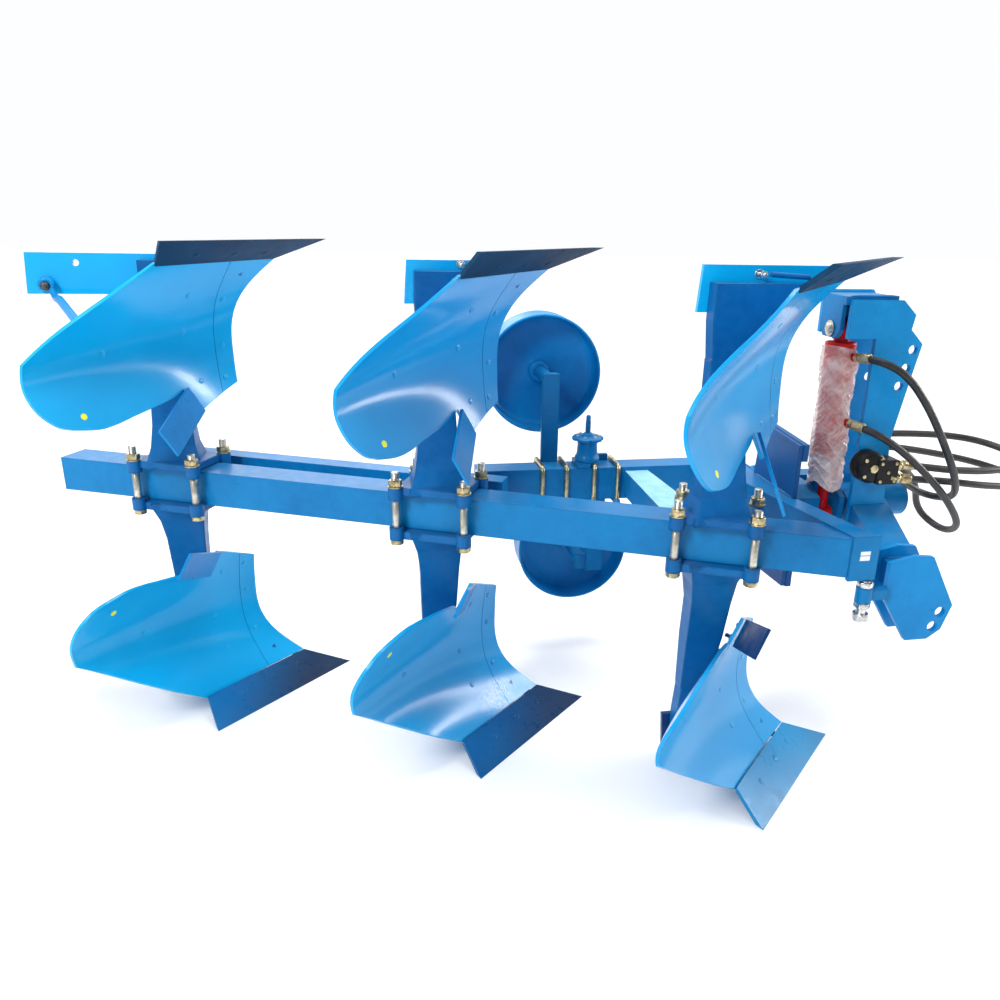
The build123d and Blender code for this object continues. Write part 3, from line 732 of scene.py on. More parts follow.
def surf(t, z, off=0.0):
    """Point of the furrow face of the board and its normal, local to the share point; off is along the normal."""
    e = 2.0
    n = depth(t, z)
    gt = (depth(t + e, z) - depth(t - e, z)) / (2 * e)
    z0, z1 = max(57.5, z - e), min(479.0, z + e)
    gz = (depth(t, z1) - depth(t, z0)) / (z1 - z0)
    nv = np.array([-gt, 1.0, -gz])
    nv /= np.linalg.norm(nv)
    xy = A0 + D0 * t + N0 * n
    nxy = D0 * nv[0] + N0 * nv[1]
    p = np.array([xy[0], xy[1], z])
    nn = np.array([nxy[0], nxy[1], nv[2]])
    return p + nn * off, nn


def place(q, tip, upper):
    """Local point of a lower body to the world, upper bodies mirrored in the turnover plane."""
    z = q[2] - 690.0
    return P(q[0] + tip[0], q[1] + tip[1], -z if upper else z)


def place_dir(d, upper):
    return Vector((d[0], d[1], -d[2] if upper else d[2]))


def rounded_tail(points, closed=False, steps=6):
    """Smooth line through the points."""
    out = []
    n = len(points)
    for i in range(n - 1):
        p0 = points[max(0, i - 1)]
        p1, p2 = points[i], points[i + 1]
        p3 = points[min(n - 1, i + 2)]
        for k in range(steps):
            s = k / steps
            out.append(tuple(0.5 * ((2 * p1[j]) + (-p0[j] + p2[j]) * s + (2 * p0[j] - 5 * p1[j] + 4 * p2[j] - p3[j]) * s * s +
                                    (-p0[j] + 3 * p1[j] - 3 * p2[j] + p3[j]) * s ** 3) for j in (0, 1)))
    out.append(points[-1])
    return out


TAIL = rounded_tail([(605, 285), (613, 345), (600, 395), (570, 430), (540, 445), (500, 454), (450, 460), (400, 456), (350, 447),
                     (300, 439), (250, 430), (205, 419), (178, 402)])
SEAM_T = 56.0


def densify(poly, step=9.0):
    out = []
    for a, b in zip(poly, poly[1:] + poly[:1]):
        n = max(1, int(math.dist(a, b) / step))
        out += [(a[0] + (b[0] - a[0]) * k / n, a[1] + (b[1] - a[1]) * k / n) for k in range(n)]
    return out


def inside(poly, x, y):
    c = False
    j = len(poly) - 1
    for i in range(len(poly)):
        xi, yi = poly[i]
        xj, yj = poly[j]
        if (yi > y) != (yj > y) and x < (xj - xi) * (y - yi) / (yj - yi) + xi:
            c = not c
        j = i
    return c


def board_pieces():
    """The moldboard and its bolted shin piece as outlines in the chord plane."""
    shin = [(shin_t(z) + 0.3, z) for z in (410, 390, 370, 350, 330, 310, 290, 270, 250, 230, 205, 180, 155, 130, 110, 90, 75, 58)]
    seam = [(SEAM_T, 200.0), (SEAM_T, 372.0)]
    main = [(290, 58.5), (360, 106.5)] + TAIL + [(145, 472), (72, 441.2), (SEAM_T + 1, 434.0), (SEAM_T + 1, 372), (SEAM_T + 1, 200), (SEAM_T + 1, 58.5)]
    strip = [(SEAM_T - 0.6, 58.5), (SEAM_T - 0.6, 200), (SEAM_T - 0.6, 372), (SEAM_T - 0.6, 433.5)] + [(1.0, 411.2)] + shin
    return main, strip


def board_mesh(mesh, outline, tip, upper, step=11.0):
    edge = densify(outline)
    n = len(edge)
    pts = list(edge)
    ts, zs = [p[0] for p in outline], [p[1] for p in outline]
    t = min(ts) + step * 0.5
    row = 0
    shrink = 4.0
    while t < max(ts):
        z = min(zs) + step * (0.5 if row % 2 else 0.0)
        while z < max(zs):
            if inside(outline, t, z) and all(math.dist((t, z), q) > shrink for q in edge):
                pts.append((t, z))
            z += step
        t += step * 0.87
        row += 1
    res = delaunay_2d_cdt([Vector(p) for p in pts], [], [list(range(n))], 1, 1e-5)
    flat, tris = res[0], res[2]
    front, back = [], []
    for q in flat:
        z = min(max(q.y, 57.2), 478.0)
        p, nv = surf(q.x, z)
        front.append(place(p, tip, upper))
        back.append(place(p - nv * (BOARD_T - 0.3), tip, upper))
    k = len(front)
    faces = [tuple(f) for f in tris] + [tuple(i + k for i in reversed(f)) for f in tris]
    count = {}
    for f in tris:
        for a, b in zip(f, list(f[1:]) + [f[0]]):
            count[(a, b)] = count.get((a, b), 0) + 1
    for a, b in list(count):
        if (b, a) not in count:
            faces.append((a, b, b + k, a + k))
    return mesh.add(front + back, faces)


def plough_bolt(mesh, mesh_back, q, nv, tip, upper, r=8.5, back_len=22.0):
    """Flush bolt in the board with its nut behind."""
    p = place(q, tip, upper)
    d = place_dir(nv, upper)
    lathe(mesh, p - d * 0.002, d, [(0, 0.0), (0.0001, r / 1000), (0.0022, r / 1000), (0.0030, r / 1000 * 0.86), (0.0034, r / 1000 * 0.5), (0.0035, 0.0002)], 20)
    b = p - d * (BOARD_T / 1000)
    hexagon(mesh_back, b - d * 0.0085, d, 0.019, 0.0085, 0.4)
    thread(mesh_back, b - d * (back_len / 1000), b - d * 0.008, 0.0058, 0.0018, 0.0008, 12)


# share geometry, local
TIP, WING, SF, SW = np.array([0, 0, 0.0]), np.array([-375, -365, 0.0]), np.array([-150, 0, 57.0]), np.array([-414, -273, 65.0])


def share_point(a, b):
    """a runs along the share from point to wing, b up from the edge to the seam."""
    lo, hi = TIP + (WING - TIP) * a, SF + (SW - SF) * a
    p = lo + (hi - lo) * b
    e = np.cross(WING - TIP, hi - lo)
    e /= np.linalg.norm(e)
    if e[1] > 0:
        e = -e
    return p, e


main_outline, strip_outline = board_pieces()
for name, tip in BODIES.items():
    for side, upper in (("lower", False), ("upper", True)):
        ms = Mesh()
        board_mesh(ms, main_outline, tip, upper)
        board_mesh(ms, strip_outline, tip, upper)
        ms.build(f"{side}_board_{name}", REFLECTION_BOARD if (side, name) == ("lower", "middle") else BOARD_OF[name], "plough_frame", 32, replaces=[f"{side}_moldboard_{name}"], slot="body_paint")
        front, back = Mesh(), Mesh()
        for t, z in ((34, 300), (38, 392), (34, 168), (118, 392), (388, 284), (150, 250), (150, 150)):
            q, nv = surf(t, z)
            plough_bolt(front, back, q, nv, tip, upper)
        heads = Mesh()
        for a, b in ((0.22, 0.66), (0.46, 0.66), (0.74, 0.62)):
            q, nv = share_point(a, b)
            p = place(q, tip, upper)
            d = place_dir(nv, upper)
            lathe(heads, p - d * 0.002, d, [(0, 0.0), (0.0001, 0.0095), (0.0022, 0.0095), (0.0030, 0.0082), (0.0034, 0.005), (0.0035, 0.0002)], 20)
        heads.build(f"{side}_share_bolts_{name}", look(f"{side}_share_{name}"), "plough_frame", 40, slot="body_paint")
        front.build(f"{side}_flush_bolts_{name}", BOARD_OF[name], "plough_frame", 40, slot="body_paint")
        back.build(f"{side}_board_nuts_{name}", CAST, "plough_frame", 40, slot="frame_paint")
        # small round stick-on dot, blank
        dot = Mesh()
        q, nv = surf(492, 424 if upper else 406, 0.0)
        lathe(dot, place(q, tip, upper) - place_dir(nv, upper) * 0.0002, place_dir(nv, upper), [(0, 0.0), (0.0001, 0.0085), (0.0007, 0.0085), (0.0008, 0.0)], 20)
        dot.build(f"{side}_dot_{name}", STICKER, "plough_frame", 40, slot="body_paint")

# ------------------------------------------------------------------ tail stays, frog feet
def local(x, y, z, tip, upper):
    return place((x, y, z), tip, upper)


def xz_prism(mesh, pts, y0, y1, tip, upper):
    n = len(pts)
    verts = [local(x, y, z, tip, upper) for y in (y0, y1) for x, z in pts]
    faces = [tuple(range(n)), tuple(range(2 * n - 1, n - 1, -1))]
    faces += [(i, i + n, (i + 1) % n + n, (i + 1) % n) for i in range(n)]
    return mesh.add(verts, faces)


stay_mesh, stay_bolt = Mesh(), Mesh()
foot, foot_bolt = Mesh(), Mesh()
for name, tip in BODIES.items():
    zl = {"rear": 47.0, "middle": 36.0, "front": 22.0}[name]
    for side, upper in (("lower", False), ("upper", True)):
        if name == "rear":
            # eye bent round the bolt in the landside, then straight to the tail of the board
            ex, ez, er = -756.0, 134.0, 16.0
            pts, rad = [], []
            for k in range(23):
                a = math.radians(-215 + k * 250 / 22)
                pts.append(local(ex + er * math.cos(a), -30 - 5.0 * max(0.0, k - 15) / 7.0, ez + er * math.sin(a), tip, upper))
                rad.append(0.0072)
            lo = np.array([ex + er * math.cos(math.radians(35)), -35.0, ez + er * math.sin(math.radians(35))])
            hi = np.array([-606.0, -305.0, 198.0])
            for k in range(1, 19):
                f = k / 18
                q = lo + (hi - lo) * f
                pts.append(local(q[0], q[1], q[2] + 8 * math.sin(math.pi * min(1.0, f * 3)) * (f < 0.34), tip, upper))
                rad.append(0.0072 + 0.0036 * min(1.0, f * 4))
            tube(stay_mesh, pts, 0.01, 16, True, lambda i: rad[i])
            out = place_dir((0, -1, 0), upper)
            washer(stay_bolt, local(ex, -16.4, ez, tip, upper), out, 0.0145, 0.004)
            thread(stay_bolt, local(ex, -18, ez, tip, upper), local(ex, -52, ez, tip, upper), 0.0078, 0.002, 0.0009, 16)
            hexagon(stay_bolt, local(ex, -38.5, ez, tip, upper), out, 0.022, 0.009, 0.3)
        # bolt and short bar below the frog
        out = place_dir((0, -1, 0), upper)
        if name != "rear":
            bz = min(zl + 27, 52.0)
            washer(foot_bolt, local(-386, -16, bz - 6, tip, upper), out, 0.0115, 0.0030)
            thread(foot_bolt, local(-386, -18, bz - 6, tip, upper), local(-386, -42, bz - 6, tip, upper), 0.0052, 0.0016, 0.0007, 14)
            hexagon(foot_bolt, local(-386, -38.5, bz - 6, tip, upper), out, 0.017, 0.0085, 0.2)
            thread(foot_bolt, local(-386, -46, bz - 6, tip, upper), local(-386, -53, bz - 6, tip, upper), 0.0052, 0.0016, 0.0007, 14)
            tube(foot, [local(-372, -48, bz - 8, tip, upper), local(-325, -48, bz - 5, tip, upper), local(-272, -48, bz - 2, tip, upper)], 0.0065, 14)
stay_mesh.build("tail_stay_rods", PLATE, "plough_frame", 50, replaces=["tail_stays"], slot="frame_paint")
stay_bolt.build("tail_stay_bolts", DARK, "plough_frame", 40, slot="zinc_plate")
foot.build("frog_feet", CAST, "plough_frame", 30, slot="frame_paint")
foot_bolt.build("frog_foot_bolts", STEEL, "plough_frame", 40, slot="zinc_plate")

# ------------------------------------------------------------------ clamp studs
BEAM_ANGLE = math.radians(-24.65)
UA = (math.cos(BEAM_ANGLE), math.sin(BEAM_ANGLE))
NA = (-UA[1], UA[0])
studs, nuts = Mesh(), Mesh()
for name, tip in BODIES.items():
    cx, cy = tip[0] - 455.0, tip[1] - 76.3
    for i, (ds, dn) in enumerate(((-96, -77), (-96, 77), (96, -77), (96, 77))):
        x, y = cx + UA[0] * ds + NA[0] * dn, cy + UA[1] * ds + NA[1] * dn
        lathe(studs, P(x, y, -86), (0, 0, 1), [(0, 0.009), (0.0015, 0.0108), (0.126, 0.0108), (0.1265, 0.0102)], 24)
        thread(studs, P(x, y, 40), P(x, y, 117 - 4 * (i % 3)), 0.0108)
        washer(nuts, P(x, y, 74.2), (0, 0, 1), 0.0205, 0.003)
        hexagon(nuts, P(x, y, 77.2), (0, 0, 1), 0.033, 0.017, 0.3 + i)
        hexagon(nuts, P(x, y, -88), (0, 0, 1), 0.033, 0.0138, 0.8 + i)
studs.build("clamp_stud_bars", ZINC, "plough_frame", 50, replaces=["clamp_studs"], slot="zinc_plate")
nuts.build("clamp_stud_nuts", BRASSY, "plough_frame", 40, slot="zinc_plate")

# ------------------------------------------------------------------ U-bolts of the wheel posts
bars, ub_nuts = Mesh(), Mesh()
for k, x in enumerate((-134, -60, 26, 100)):
    r_in = 14
    pts = [(x, 78, -72), (x, 78, -40), (x, 78, 0), (x, 78, 57 - r_in)]
    for j in range(1, 7):
        t = math.pi / 2 * j / 6
        pts.append((x, 78 + r_in - r_in * math.cos(t), 57 - r_in + r_in * math.sin(t)))
    for j in range(0, 7):
        t = math.pi / 2 * j / 6
        pts.append((x, 192 - r_in + r_in * math.sin(t), 57 - r_in + r_in * math.cos(t)))
    pts += [(x, 192, 0), (x, 192, -40), (x, 192, -72)]
    tube(bars, [P(*q) for q in pts], 0.0068, 14)
    for y in (78, 192):
        thread(bars, P(x, y, -76), P(x, y, -36), 0.0070, 0.002, 0.0009, 14)
        hexagon(ub_nuts, P(x, y, -73), (0, 0, 1), 0.021, 0.0105, 0.5 + k)
        washer(ub_nuts, P(x, y, -62.4), (0, 0, 1), 0.0125, 0.0022)
plates = Mesh()
bars.build("u_bolt_bars", BRASSY, "plough_frame", 50, replaces=["wheel_u_bolts"], slot="zinc_plate")
ub_nuts.build("u_bolt_nuts", ZINC, "plough_frame", 40, slot="zinc_plate")

# clamp straps under the inner beam, with rounded ends
for x in (-134, -60, 26, 100):
    pts = []
    for j in range(13):
        t = math.pi * j / 12
        pts.append((x + 9.5 * math.cos(t), 199 + 9 * math.sin(t)))
    for j in range(13):
        t = math.pi + math.pi * j / 12
        pts.append((x + 9.5 * math.cos(t), 71 + 9 * math.sin(t)))
    lo = [P(px, py, -60) for px, py in pts]
    hi = [P(px, py, -50.3) for px, py in pts]
    n = len(pts)
    faces = [tuple(range(n)), tuple(range(2 * n - 1, n - 1, -1))] + [(i, (i + 1) % n, (i + 1) % n + n, i + n) for i in range(n)]
    plates.add(lo + hi, faces)
plates.build("u_bolt_straps", PLATE, "plough_frame", 40, slot="frame_paint")

# ------------------------------------------------------------------ depth adjuster
adj = Mesh()
ax, ay = 12.0, 126.0
base = [(-26, 84), (18, 84), (18, 168), (-26, 168)]
lo, hi = [], []
for (bx, by), c in zip(base, ((1, 1), (-1, 1), (-1, -1), (1, -1))):
    for q in ((bx + 4 * c[0], by), (bx, by + 4 * c[1])) if c in ((1, 1), (-1, -1)) else ((bx, by + 4 * c[1]), (bx + 4 * c[0], by)):
        lo.append(q)
cxm, cym = sum(q[0] for q in lo) / len(lo), sum(q[1] for q in lo) / len(lo)
lo.sort(key=lambda q: math.atan2(q[1] - cym, q[0] - cxm))
n = len(lo)
adj.add([P(px, py, 50.3) for px, py in lo] + [P(px, py, 63) for px, py in lo],
        [tuple(range(n)), tuple(range(2 * n - 1, n - 1, -1))] + [(i, (i + 1) % n, (i + 1) % n + n, i + n) for i in range(n)])
lathe(adj, P(ax, ay, 63), (0, 0, 1), [(0, 0.036), (0.003, 0.038), (0.012, 0.038), (0.017, 0.035), (0.021, 0.0325), (0.030, 0.0315), (0.052, 0.0300), (0.060, 0.0315), (0.066, 0.034)], 64)
lathe(adj, P(ax, ay, 128), (0, 0, 1), [(0, 0.040), (0.002, 0.0475), (0.008, 0.048), (0.0105, 0.0455), (0.0125, 0.036)], 96,
      lambda i, r, t: r * (1 - 0.13 * max(0.0, math.cos(6 * t)) ** 4))
lathe(adj, P(ax, ay, 140), (0, 0, 1), [(0, 0.019), (0.004, 0.018), (0.010, 0.012)], 32)
thread(adj, P(ax, ay, 148), P(ax, ay, 188), 0.0085, 0.003, 0.0012, 18)
lathe(adj, P(ax, ay, 188), (0, 0, 1), [(0, 0.0062), (0.001, 0.007), (0.012, 0.007), (0.016, 0.005)], 18)
adj.build("depth_screw", FRAME, "plough_frame", 40, replaces=["depth_adjuster"], slot="frame_paint")
cap = Mesh()
for k in range(6):
    t = math.pi / 3 * k
    hexagon(cap, P(ax + 31 * math.cos(t), ay + 31 * math.sin(t), 139), (0, 0, 1), 0.009, 0.005, t)
cap.build("depth_screw_bolts", ZINC, "plough_frame", 40, slot="zinc_plate")

# ------------------------------------------------------------------ gauge wheels
for name, wx, wy, wz in (("upper", -95.0, 300.0, 296.0), ("lower", 24.0, 300.0, -298.0)):
    w = Mesh()
    # a pressed dish: rolled rim, wall and stepped bottom, open towards the beam
    prof = [(0.0004, 0.1815), (0.0012, 0.1845), (0.004, 0.1858), (0.010, 0.1856), (0.020, 0.1845), (0.092, 0.1842), (0.100, 0.1856), (0.106, 0.1856),
            (0.1095, 0.1835), (0.1098, 0.178), (0.1085, 0.165), (0.1075, 0.120), (0.1085, 0.100), (0.1095, 0.092), (0.1095, 0.0202),
            (0.050, 0.0202), (0.0502, 0.030), (0.052, 0.032), (0.084, 0.032), (0.0875, 0.036), (0.0895, 0.052), (0.0900, 0.090),
            (0.0895, 0.110), (0.0885, 0.140), (0.0865, 0.160), (0.080, 0.1735), (0.074, 0.1775), (0.020, 0.1785), (0.006, 0.1792), (0.0012, 0.1795)]
    u = len(prof)
    seg = 96
    origin = P(wx, wy, wz)
    verts, faces = [], []
    for a, r in prof:
        for k in range(seg):
            t = 2 * math.pi * k / seg
            verts.append(origin + Vector((r * math.cos(t), a, r * math.sin(t))))
    for i in range(u):
        i2 = (i + 1) % u
        for k in range(seg):
            k2 = (k + 1) % seg
            faces.append((i * seg + k, i * seg + k2, i2 * seg + k2, i2 * seg + k))
    w.add(verts, faces)
    w.build(f"wheel_dish_{name}", PLATE, f"{name}_gauge_wheel", 40, replaces=[f"gauge_wheel_{name}"], slot="frame_paint")
    ring = Mesh()
    pts = [origin + Vector((0.0335 * math.cos(2 * math.pi * k / 72), 0.0868, 0.0335 * math.sin(2 * math.pi * k / 72))) for k in range(73)]
    tube(ring, pts, 0.0035, 8, True, lambda i: 0.0035 * (0.85 + 0.2 * abs(math.sin(i * 1.3))))
    ring.build(f"wheel_weld_{name}", PLATE, f"{name}_gauge_wheel", 60, slot="frame_paint")
    # hub end: a thin disc on the axle
    hub = Mesh()
    lathe(hub, P(wx, wy + 109.8, wz), (0, 1, 0), [(-0.001, 0.019), (0.0, 0.0192), (0.0018, 0.0188), (0.0019, 0.0)], 32)
    hub.build(f"axle_end_{name}", STEEL, "plough_frame", 40, slot="zinc_plate")

# ------------------------------------------------------------------ stop bolts
sb = Mesh()
for y in (-145 - 420.0, -145 + 420.0):
    hexagon(sb, P(551, y, -168), (0, 0, 1), 0.036, 0.018, 0.35)
    lathe(sb, P(551, y, -150), (0, 0, 1), [(0, 0.0185), (0.001, 0.0185), (0.002, 0.0118), (0.030, 0.0118), (0.031, 0.0113)], 28)
    thread(sb, P(551, y, -119), P(551, y, -60), 0.0118, 0.0028, 0.0013, 24)
    hexagon(sb, P(551, y, -77.6), (0, 0, 1), 0.036, 0.014, 0.1)
    hexagon(sb, P(551, y, -133), (0, 0, 1), 0.036, 0.0145, 0.9)
sb.build("stop_bolt_screws", STEEL, "headstock", 45, replaces=["stop_bolts"], slot="zinc_plate")

# ------------------------------------------------------------------ cylinder, pin, film
T = Vector((624, -175, 500))
B = Vector((624, -197, -20))
axd = (B - T).normalized()


def on_cyl(s):
    return P(*(T + axd * s))


pin = Mesh()
lathe(pin, P(578, -175, 500), (1, 0, 0), [(0, 0.0125), (0.0015, 0.0146), (0.0915, 0.0146), (0.093, 0.0125)], 32)
lathe(pin, P(583, -175, 500), (1, 0, 0), [(0, 0.0148), (0.001, 0.021), (0.0035, 0.021), (0.0045, 0.0148)], 32)
hexagon(pin, P(661, -175, 500), (1, 0, 0), 0.034, 0.012, 0.2)
pin.build("cylinder_pin_bolt", ZINC, "headstock", 40, replaces=["cylinder_top_pin"], slot="zinc_plate")
bar = Mesh()
lathe(bar, on_cyl(336), axd, [(0, 0.0402), (0.001, 0.0415), (0.0135, 0.0415), (0.0148, 0.040)], 48)
lathe(bar, on_cyl(34), axd, [(0, 0.034), (0.0025, 0.040), (0.0042, 0.0412), (0.014, 0.0412), (0.0155, 0.0402)], 48)
bar.build("barrel_collars", RED, "cylinder_body", 40, slot="red_paint")

fu, fw, fd = axes(axd)
fm = Mesh()
RINGS, SEGF = 190, 170
verts, faces = [], []


def ridge(x):
    return max(0.0, 1 - abs(x) * 3.2) ** 2


for i in range(RINGS + 1):
    s = i / RINGS
    along = 52 + (430 - 52) * s
    for k in range(SEGF):
        t = 2 * math.pi * k / SEGF
        dirv = fu * math.cos(t) + fw * math.sin(t)
        c, d = math.cos(t), math.sin(t)
        big = noise.noise(Vector((c * 0.9 + 3.1, d * 0.9, along * 0.013 + 7)))
        # long slanting folds of the wrapped sheet, and short creases between them
        tw = t + along * 0.016
        f1 = ridge(noise.noise(Vector((math.cos(tw) * 1.6, math.sin(tw) * 1.6, along * 0.022 + 2))))
        tv = t - along * 0.022
        f2 = ridge(noise.noise(Vector((math.cos(tv) * 2.6 + 5, math.sin(tv) * 2.6, along * 0.030 + 4))))
        f3 = ridge(noise.noise(Vector((c * 6.5, d * 6.5, along * 0.085 + 21))))
        r = 44.6 + 3.4 * big + 3.6 * f1 + 2.8 * f2 + 0.35 * f3
        # gathered at the top, waisted at the middle, loose at the bottom
        r -= 3.2 * math.exp(-((along - 66) / 16.0) ** 2)
        r += 4.2 * math.exp(-((along - 92) / 22.0) ** 2)
        r -= 2.8 * math.exp(-((along - 205) / 34.0) ** 2)
        r += 2.4 * math.exp(-((along - 290) / 36.0) ** 2)
        if along > 362:
            g = (along - 362) / 68.0
            r += 4.0 * g * (0.4 + noise.noise(Vector((c * 2.2, d * 2.2, 5)))) + 2.6 * g * math.sin(4 * t + 1.3)
        lim = 54.0 if dirv.x > 0.25 else (49.8 if dirv.x > -0.5 else 50.0)
        r = min(max(r, 41.9), lim)
        hem = 12.0 * s ** 7 * (noise.noise(Vector((c * 1.6, d * 1.6, 9))) + 0.7 * math.sin(2 * t + 2.2))
        top = -9.0 * (1 - s) ** 9 * math.sin(t + 0.3)
        verts.append(on_cyl(along + hem + top) + dirv * r / 1000)
for i in range(RINGS):
    for k in range(SEGF):
        k2 = (k + 1) % SEGF
        faces.append((i * SEGF + k, i * SEGF + k2, (i + 1) * SEGF + k2, (i + 1) * SEGF + k))
fm.add(verts, faces)
fm.build("packing_film", FILM, "cylinder_body", 180, replaces=["wrap_film"], slot="clear_film")

# ------------------------------------------------------------------ control valve
v = Mesh()
vx, vz = 702, 140
lathe(v, P(vx, -251, vz), (0, -1, 0), [(0, 0.0425), (0.001, 0.044), (0.014, 0.044), (0.016, 0.041), (0.020, 0.041), (0.022, 0.044), (0.037, 0.044), (0.043, 0.0405), (0.0465, 0.034), (0.047, 0.0)], 64)
for x0, x1, y0, y1, z0, z1 in ((714, 775, -301, -252, 95, 163),):
    c = 3.0
    prof = [(x0 + c, z0), (x1 - c, z0), (x1, z0 + c), (x1, z1 - c), (x1 - c, z1), (x0 + c, z1), (x0, z1 - c), (x0, z0 + c)]
    v.add([P(px, y0, pz) for px, pz in prof] + [P(px, y1, pz) for px, pz in prof],
          [tuple(range(8)), tuple(range(15, 7, -1))] + [(i, (i + 1) % 8, (i + 1) % 8 + 8, i + 8) for i in range(8)])
v.build("valve_body", BLACK, "headstock", 40, replaces=["control_valve"], slot="black_paint")
vb = Mesh()
for k in range(4):
    t = math.pi / 4 + math.pi / 2 * k
    hexagon(vb, P(vx + 32 * math.cos(t), -293, vz + 32 * math.sin(t)), (0, -1, 0), 0.010, 0.005, t)
hexagon(vb, P(vx, -297, vz), (0, -1, 0), 0.022, 0.006, 0.2)
for px, pz in ((724, 104), (766, 104), (724, 154), (766, 154), (745, 129)):
    hexagon(vb, P(px, -300.6, pz), (0, -1, 0), 0.009, 0.004, 0.3)
vb.build("valve_screws", BRASSY, "headstock", 40, slot="zinc_plate")

# ------------------------------------------------------------------ welds
fr = []
for z in (55.3, -55.3):
    fr.append(((500, -270, z), (500, 84, z)))
for z in (50.6, -50.6):
    fr.append(((395, 87, z), (395, 165, z)))
welds("cross_member_welds", "plough_frame", fr, 0.004)
fr = []
for k in (1, -1):
    fr.append(((500.8, -52, 216 * k), (500.8, -30, 60 * k)))
    fr.append(((487.5, -270, 56.2 * k), (487.5, -40, 56.2 * k)))
welds("turnover_wall_welds", "plough_frame", fr, 0.0045)
fr = []
for y in (-250.6, -235.4, -104.6, -89.4):
    fr.append(((690, y, -56), (740, y, -56)))
for y in (-235.2, -104.8):
    fr.append(((600, y, 565.4), (735, y, 565.4)))
    fr.append(((600, y, 588.6), (735, y, 588.6)))
for x in (600.6, 647.4):
    fr.append(((x, -220, 565.2), (x, -120, 565.2)))
welds("headstock_welds", "headstock", fr, 0.004)
rings = Mesh()
for y in (-250.6, -89.4):
    pts = [P(700 + 0, y, 0) + Vector((0.0, 0, 0))]
for x in (690.5,):
    pts = [P(x, -145 + 51 * math.cos(2 * math.pi * k / 80), 51 * math.sin(2 * math.pi * k / 80)) for k in range(81)]
    tube(rings, pts, 0.003, 8, True, lambda i: 0.0032 * (0.85 + 0.2 * abs(math.sin(i * 1.7))))
rings.build("housing_weld", FRAME, "headstock", 60, slot="frame_paint")
fr = []
for sy in (-1, 1):
    yi, yo = -145 + sy * (412.5 - 75), -145 + sy * 412.5
    for y in (yi - sy * 7.6, yi + sy * 7.6, yo - sy * 7.6):
        fr.append(((642, y, -39.4 if y != yi - sy * 7.6 else -34.6), (729, y, -39.4 if y != yi - sy * 7.6 else -34.6)))
welds("hitch_welds", "headstock", fr, 0.004)

# front face of the end stop plate: a small blank mark
mk = Mesh()
mx, my, mz = 533, -573.2, 2
for dx, dz, w_, h_ in ((0, 0, 13, 9), (0, 13, 13, 7)):
    mk.add([P(mx + dx - w_, my - 0.25, mz + dz - h_ / 2 - 2), P(mx + dx + w_, my - 0.25, mz + dz - h_ / 2 - 2), P(mx + dx + w_, my - 0.25, mz + dz + h_ / 2 + 1),
            P(mx + dx - w_, my - 0.25, mz + dz + h_ / 2 + 1), P(mx + dx - w_, my + 0.4, mz + dz - h_ / 2 - 2), P(mx + dx + w_, my + 0.4, mz + dz - h_ / 2 - 2),
            P(mx + dx + w_, my + 0.4, mz + dz + h_ / 2 + 1), P(mx + dx - w_, my + 0.4, mz + dz + h_ / 2 + 1)],
           [(0, 1, 2, 3), (7, 6, 5, 4), (0, 4, 5, 1), (1, 5, 6, 2), (2, 6, 7, 3), (3, 7, 4, 0)])
mk.build("blank_mark", BLANK, "plough_frame", 40, slot="frame_paint")

# ------------------------------------------------------------------ stage and light
floor_me = bpy.data.meshes.new("floor")
s = 30.0
floor_me.from_pydata([(-s, -s, -0.0005), (s, -s, -0.0005), (s, s, -0.0005), (-s, s, -0.0005)], [], [(0, 1, 2, 3)])
floor = bpy.data.objects.new("floor", floor_me)
bpy.context.collection.objects.link(floor)
fmat, fnt, fnodes, flinks = new_mat("floor")
fo = fnodes.new("ShaderNodeOutputMaterial")
fb = fnodes.new("ShaderNodeBsdfPrincipled")
fco = fnodes.new("ShaderNodeTexCoord").outputs["Object"]
flinks.new(ramp(fnt, noise_node(fnt, fco, 1.5, 3), [(0.3, (0.90, 0.90, 0.905)), (0.7, (0.93, 0.93, 0.935))]), fb.inputs["Base Color"])
fb.inputs["Roughness"].default_value = 0.75
# far from the plough the floor glows softly, so that it runs into the white behind it
flen = fnodes.new("ShaderNodeVectorMath")
flen.operation = "LENGTH"
flinks.new(fco, flen.inputs[0])
fmap = fnodes.new("ShaderNodeMapRange")
fmap.interpolation_type = "SMOOTHSTEP"
fmap.inputs["From Min"].default_value = 1.8
fmap.inputs["From Max"].default_value = 7.0
fmap.inputs["To Max"].default_value = 0.45
flinks.new(flen.outputs["Value"], fmap.inputs["Value"])
fb.inputs["Emission Color"].default_value = (1.0, 1.0, 1.0, 1.0)
flinks.new(fmap.outputs["Result"], fb.inputs["Emission Strength"])
flinks.new(fb.outputs[0], fo.inputs[0])
floor_me.materials.append(fmat)

world = bpy.data.worlds.new("world_light")
world.use_nodes = True
bg = world.node_tree.nodes["Background"]
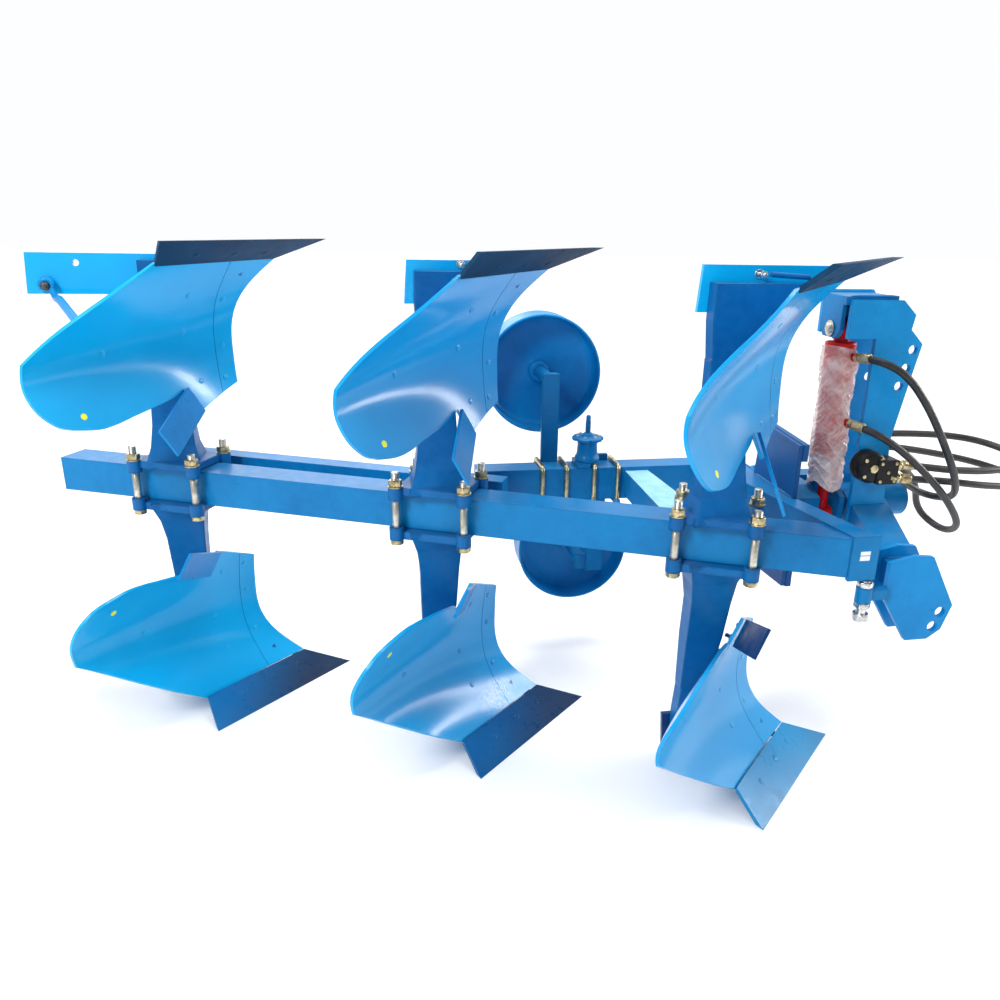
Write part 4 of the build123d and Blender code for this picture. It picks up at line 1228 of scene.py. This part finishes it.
# a little darker from the side the plough is seen from, white behind it
wnodes, wlinks = world.node_tree.nodes, world.node_tree.links
wtc = wnodes.new("ShaderNodeTexCoord")
wsep = wnodes.new("ShaderNodeSeparateXYZ")
wlinks.new(wtc.outputs["Generated"], wsep.inputs[0])
wmap = wnodes.new("ShaderNodeMapRange")
wmap.inputs["From Min"].default_value = -0.6
wmap.inputs["From Max"].default_value = 0.55
wmap.inputs["To Min"].default_value = 0.40
wmap.inputs["To Max"].default_value = 1.0
wlinks.new(wsep.outputs["Y"], wmap.inputs["Value"])
bg.inputs["Color"].default_value = (0.985, 0.99, 1.0, 1)
wlinks.new(wmap.outputs["Result"], bg.inputs["Strength"])
bpy.context.scene.world = world


def area(name, loc, target, size, power, color=(1, 1, 1)):
    ld = bpy.data.lights.new(name, "AREA")
    ld.shape = "RECTANGLE"
    ld.size, ld.size_y = size
    ld.energy = power
    ld.color = color
    ob = bpy.data.objects.new(name, ld)
    bpy.context.collection.objects.link(ob)
    ob.location = loc
    ob.rotation_mode = "QUATERNION"
    ob.rotation_quaternion = (Vector(target) - Vector(loc)).to_track_quat("-Z", "Y")
    ob.visible_camera = False
    return ob


area("key", (-3.3, -2.9, 4.2), (-0.2, 0.0, 0.6), (1.6, 1.6), 250)
area("top", (0.4, 0.5, 4.4), (0.0, 0.0, 0.6), (3.0, 1.2), 100)
area("back", (-1.0, 4.2, 2.6), (0.0, 0.0, 0.8), (3.0, 1.6), 40)
# long narrow light on the right, sloping down to the back: it draws the line along the crease of the boards
for label, along, length, power in (("strip_far", 1.0, 1.5, 34), ("strip_near", -0.8, 1.9, 95)):
    strip = area(label, (4.9, -0.1 + 0.87 * along, 2.12 - 0.49 * along), (0, 0, 0), (length, 0.34), power)
    sz = Vector((1.0, 0.0, 0.22)).normalized()
    sx = Vector((0.0, 0.87, -0.49))
    sx = (sx - sz * sx.dot(sz)).normalized()
    sy = sz.cross(sx)
    strip.rotation_quaternion = Matrix((sx, sy, sz)).transposed().to_quaternion()
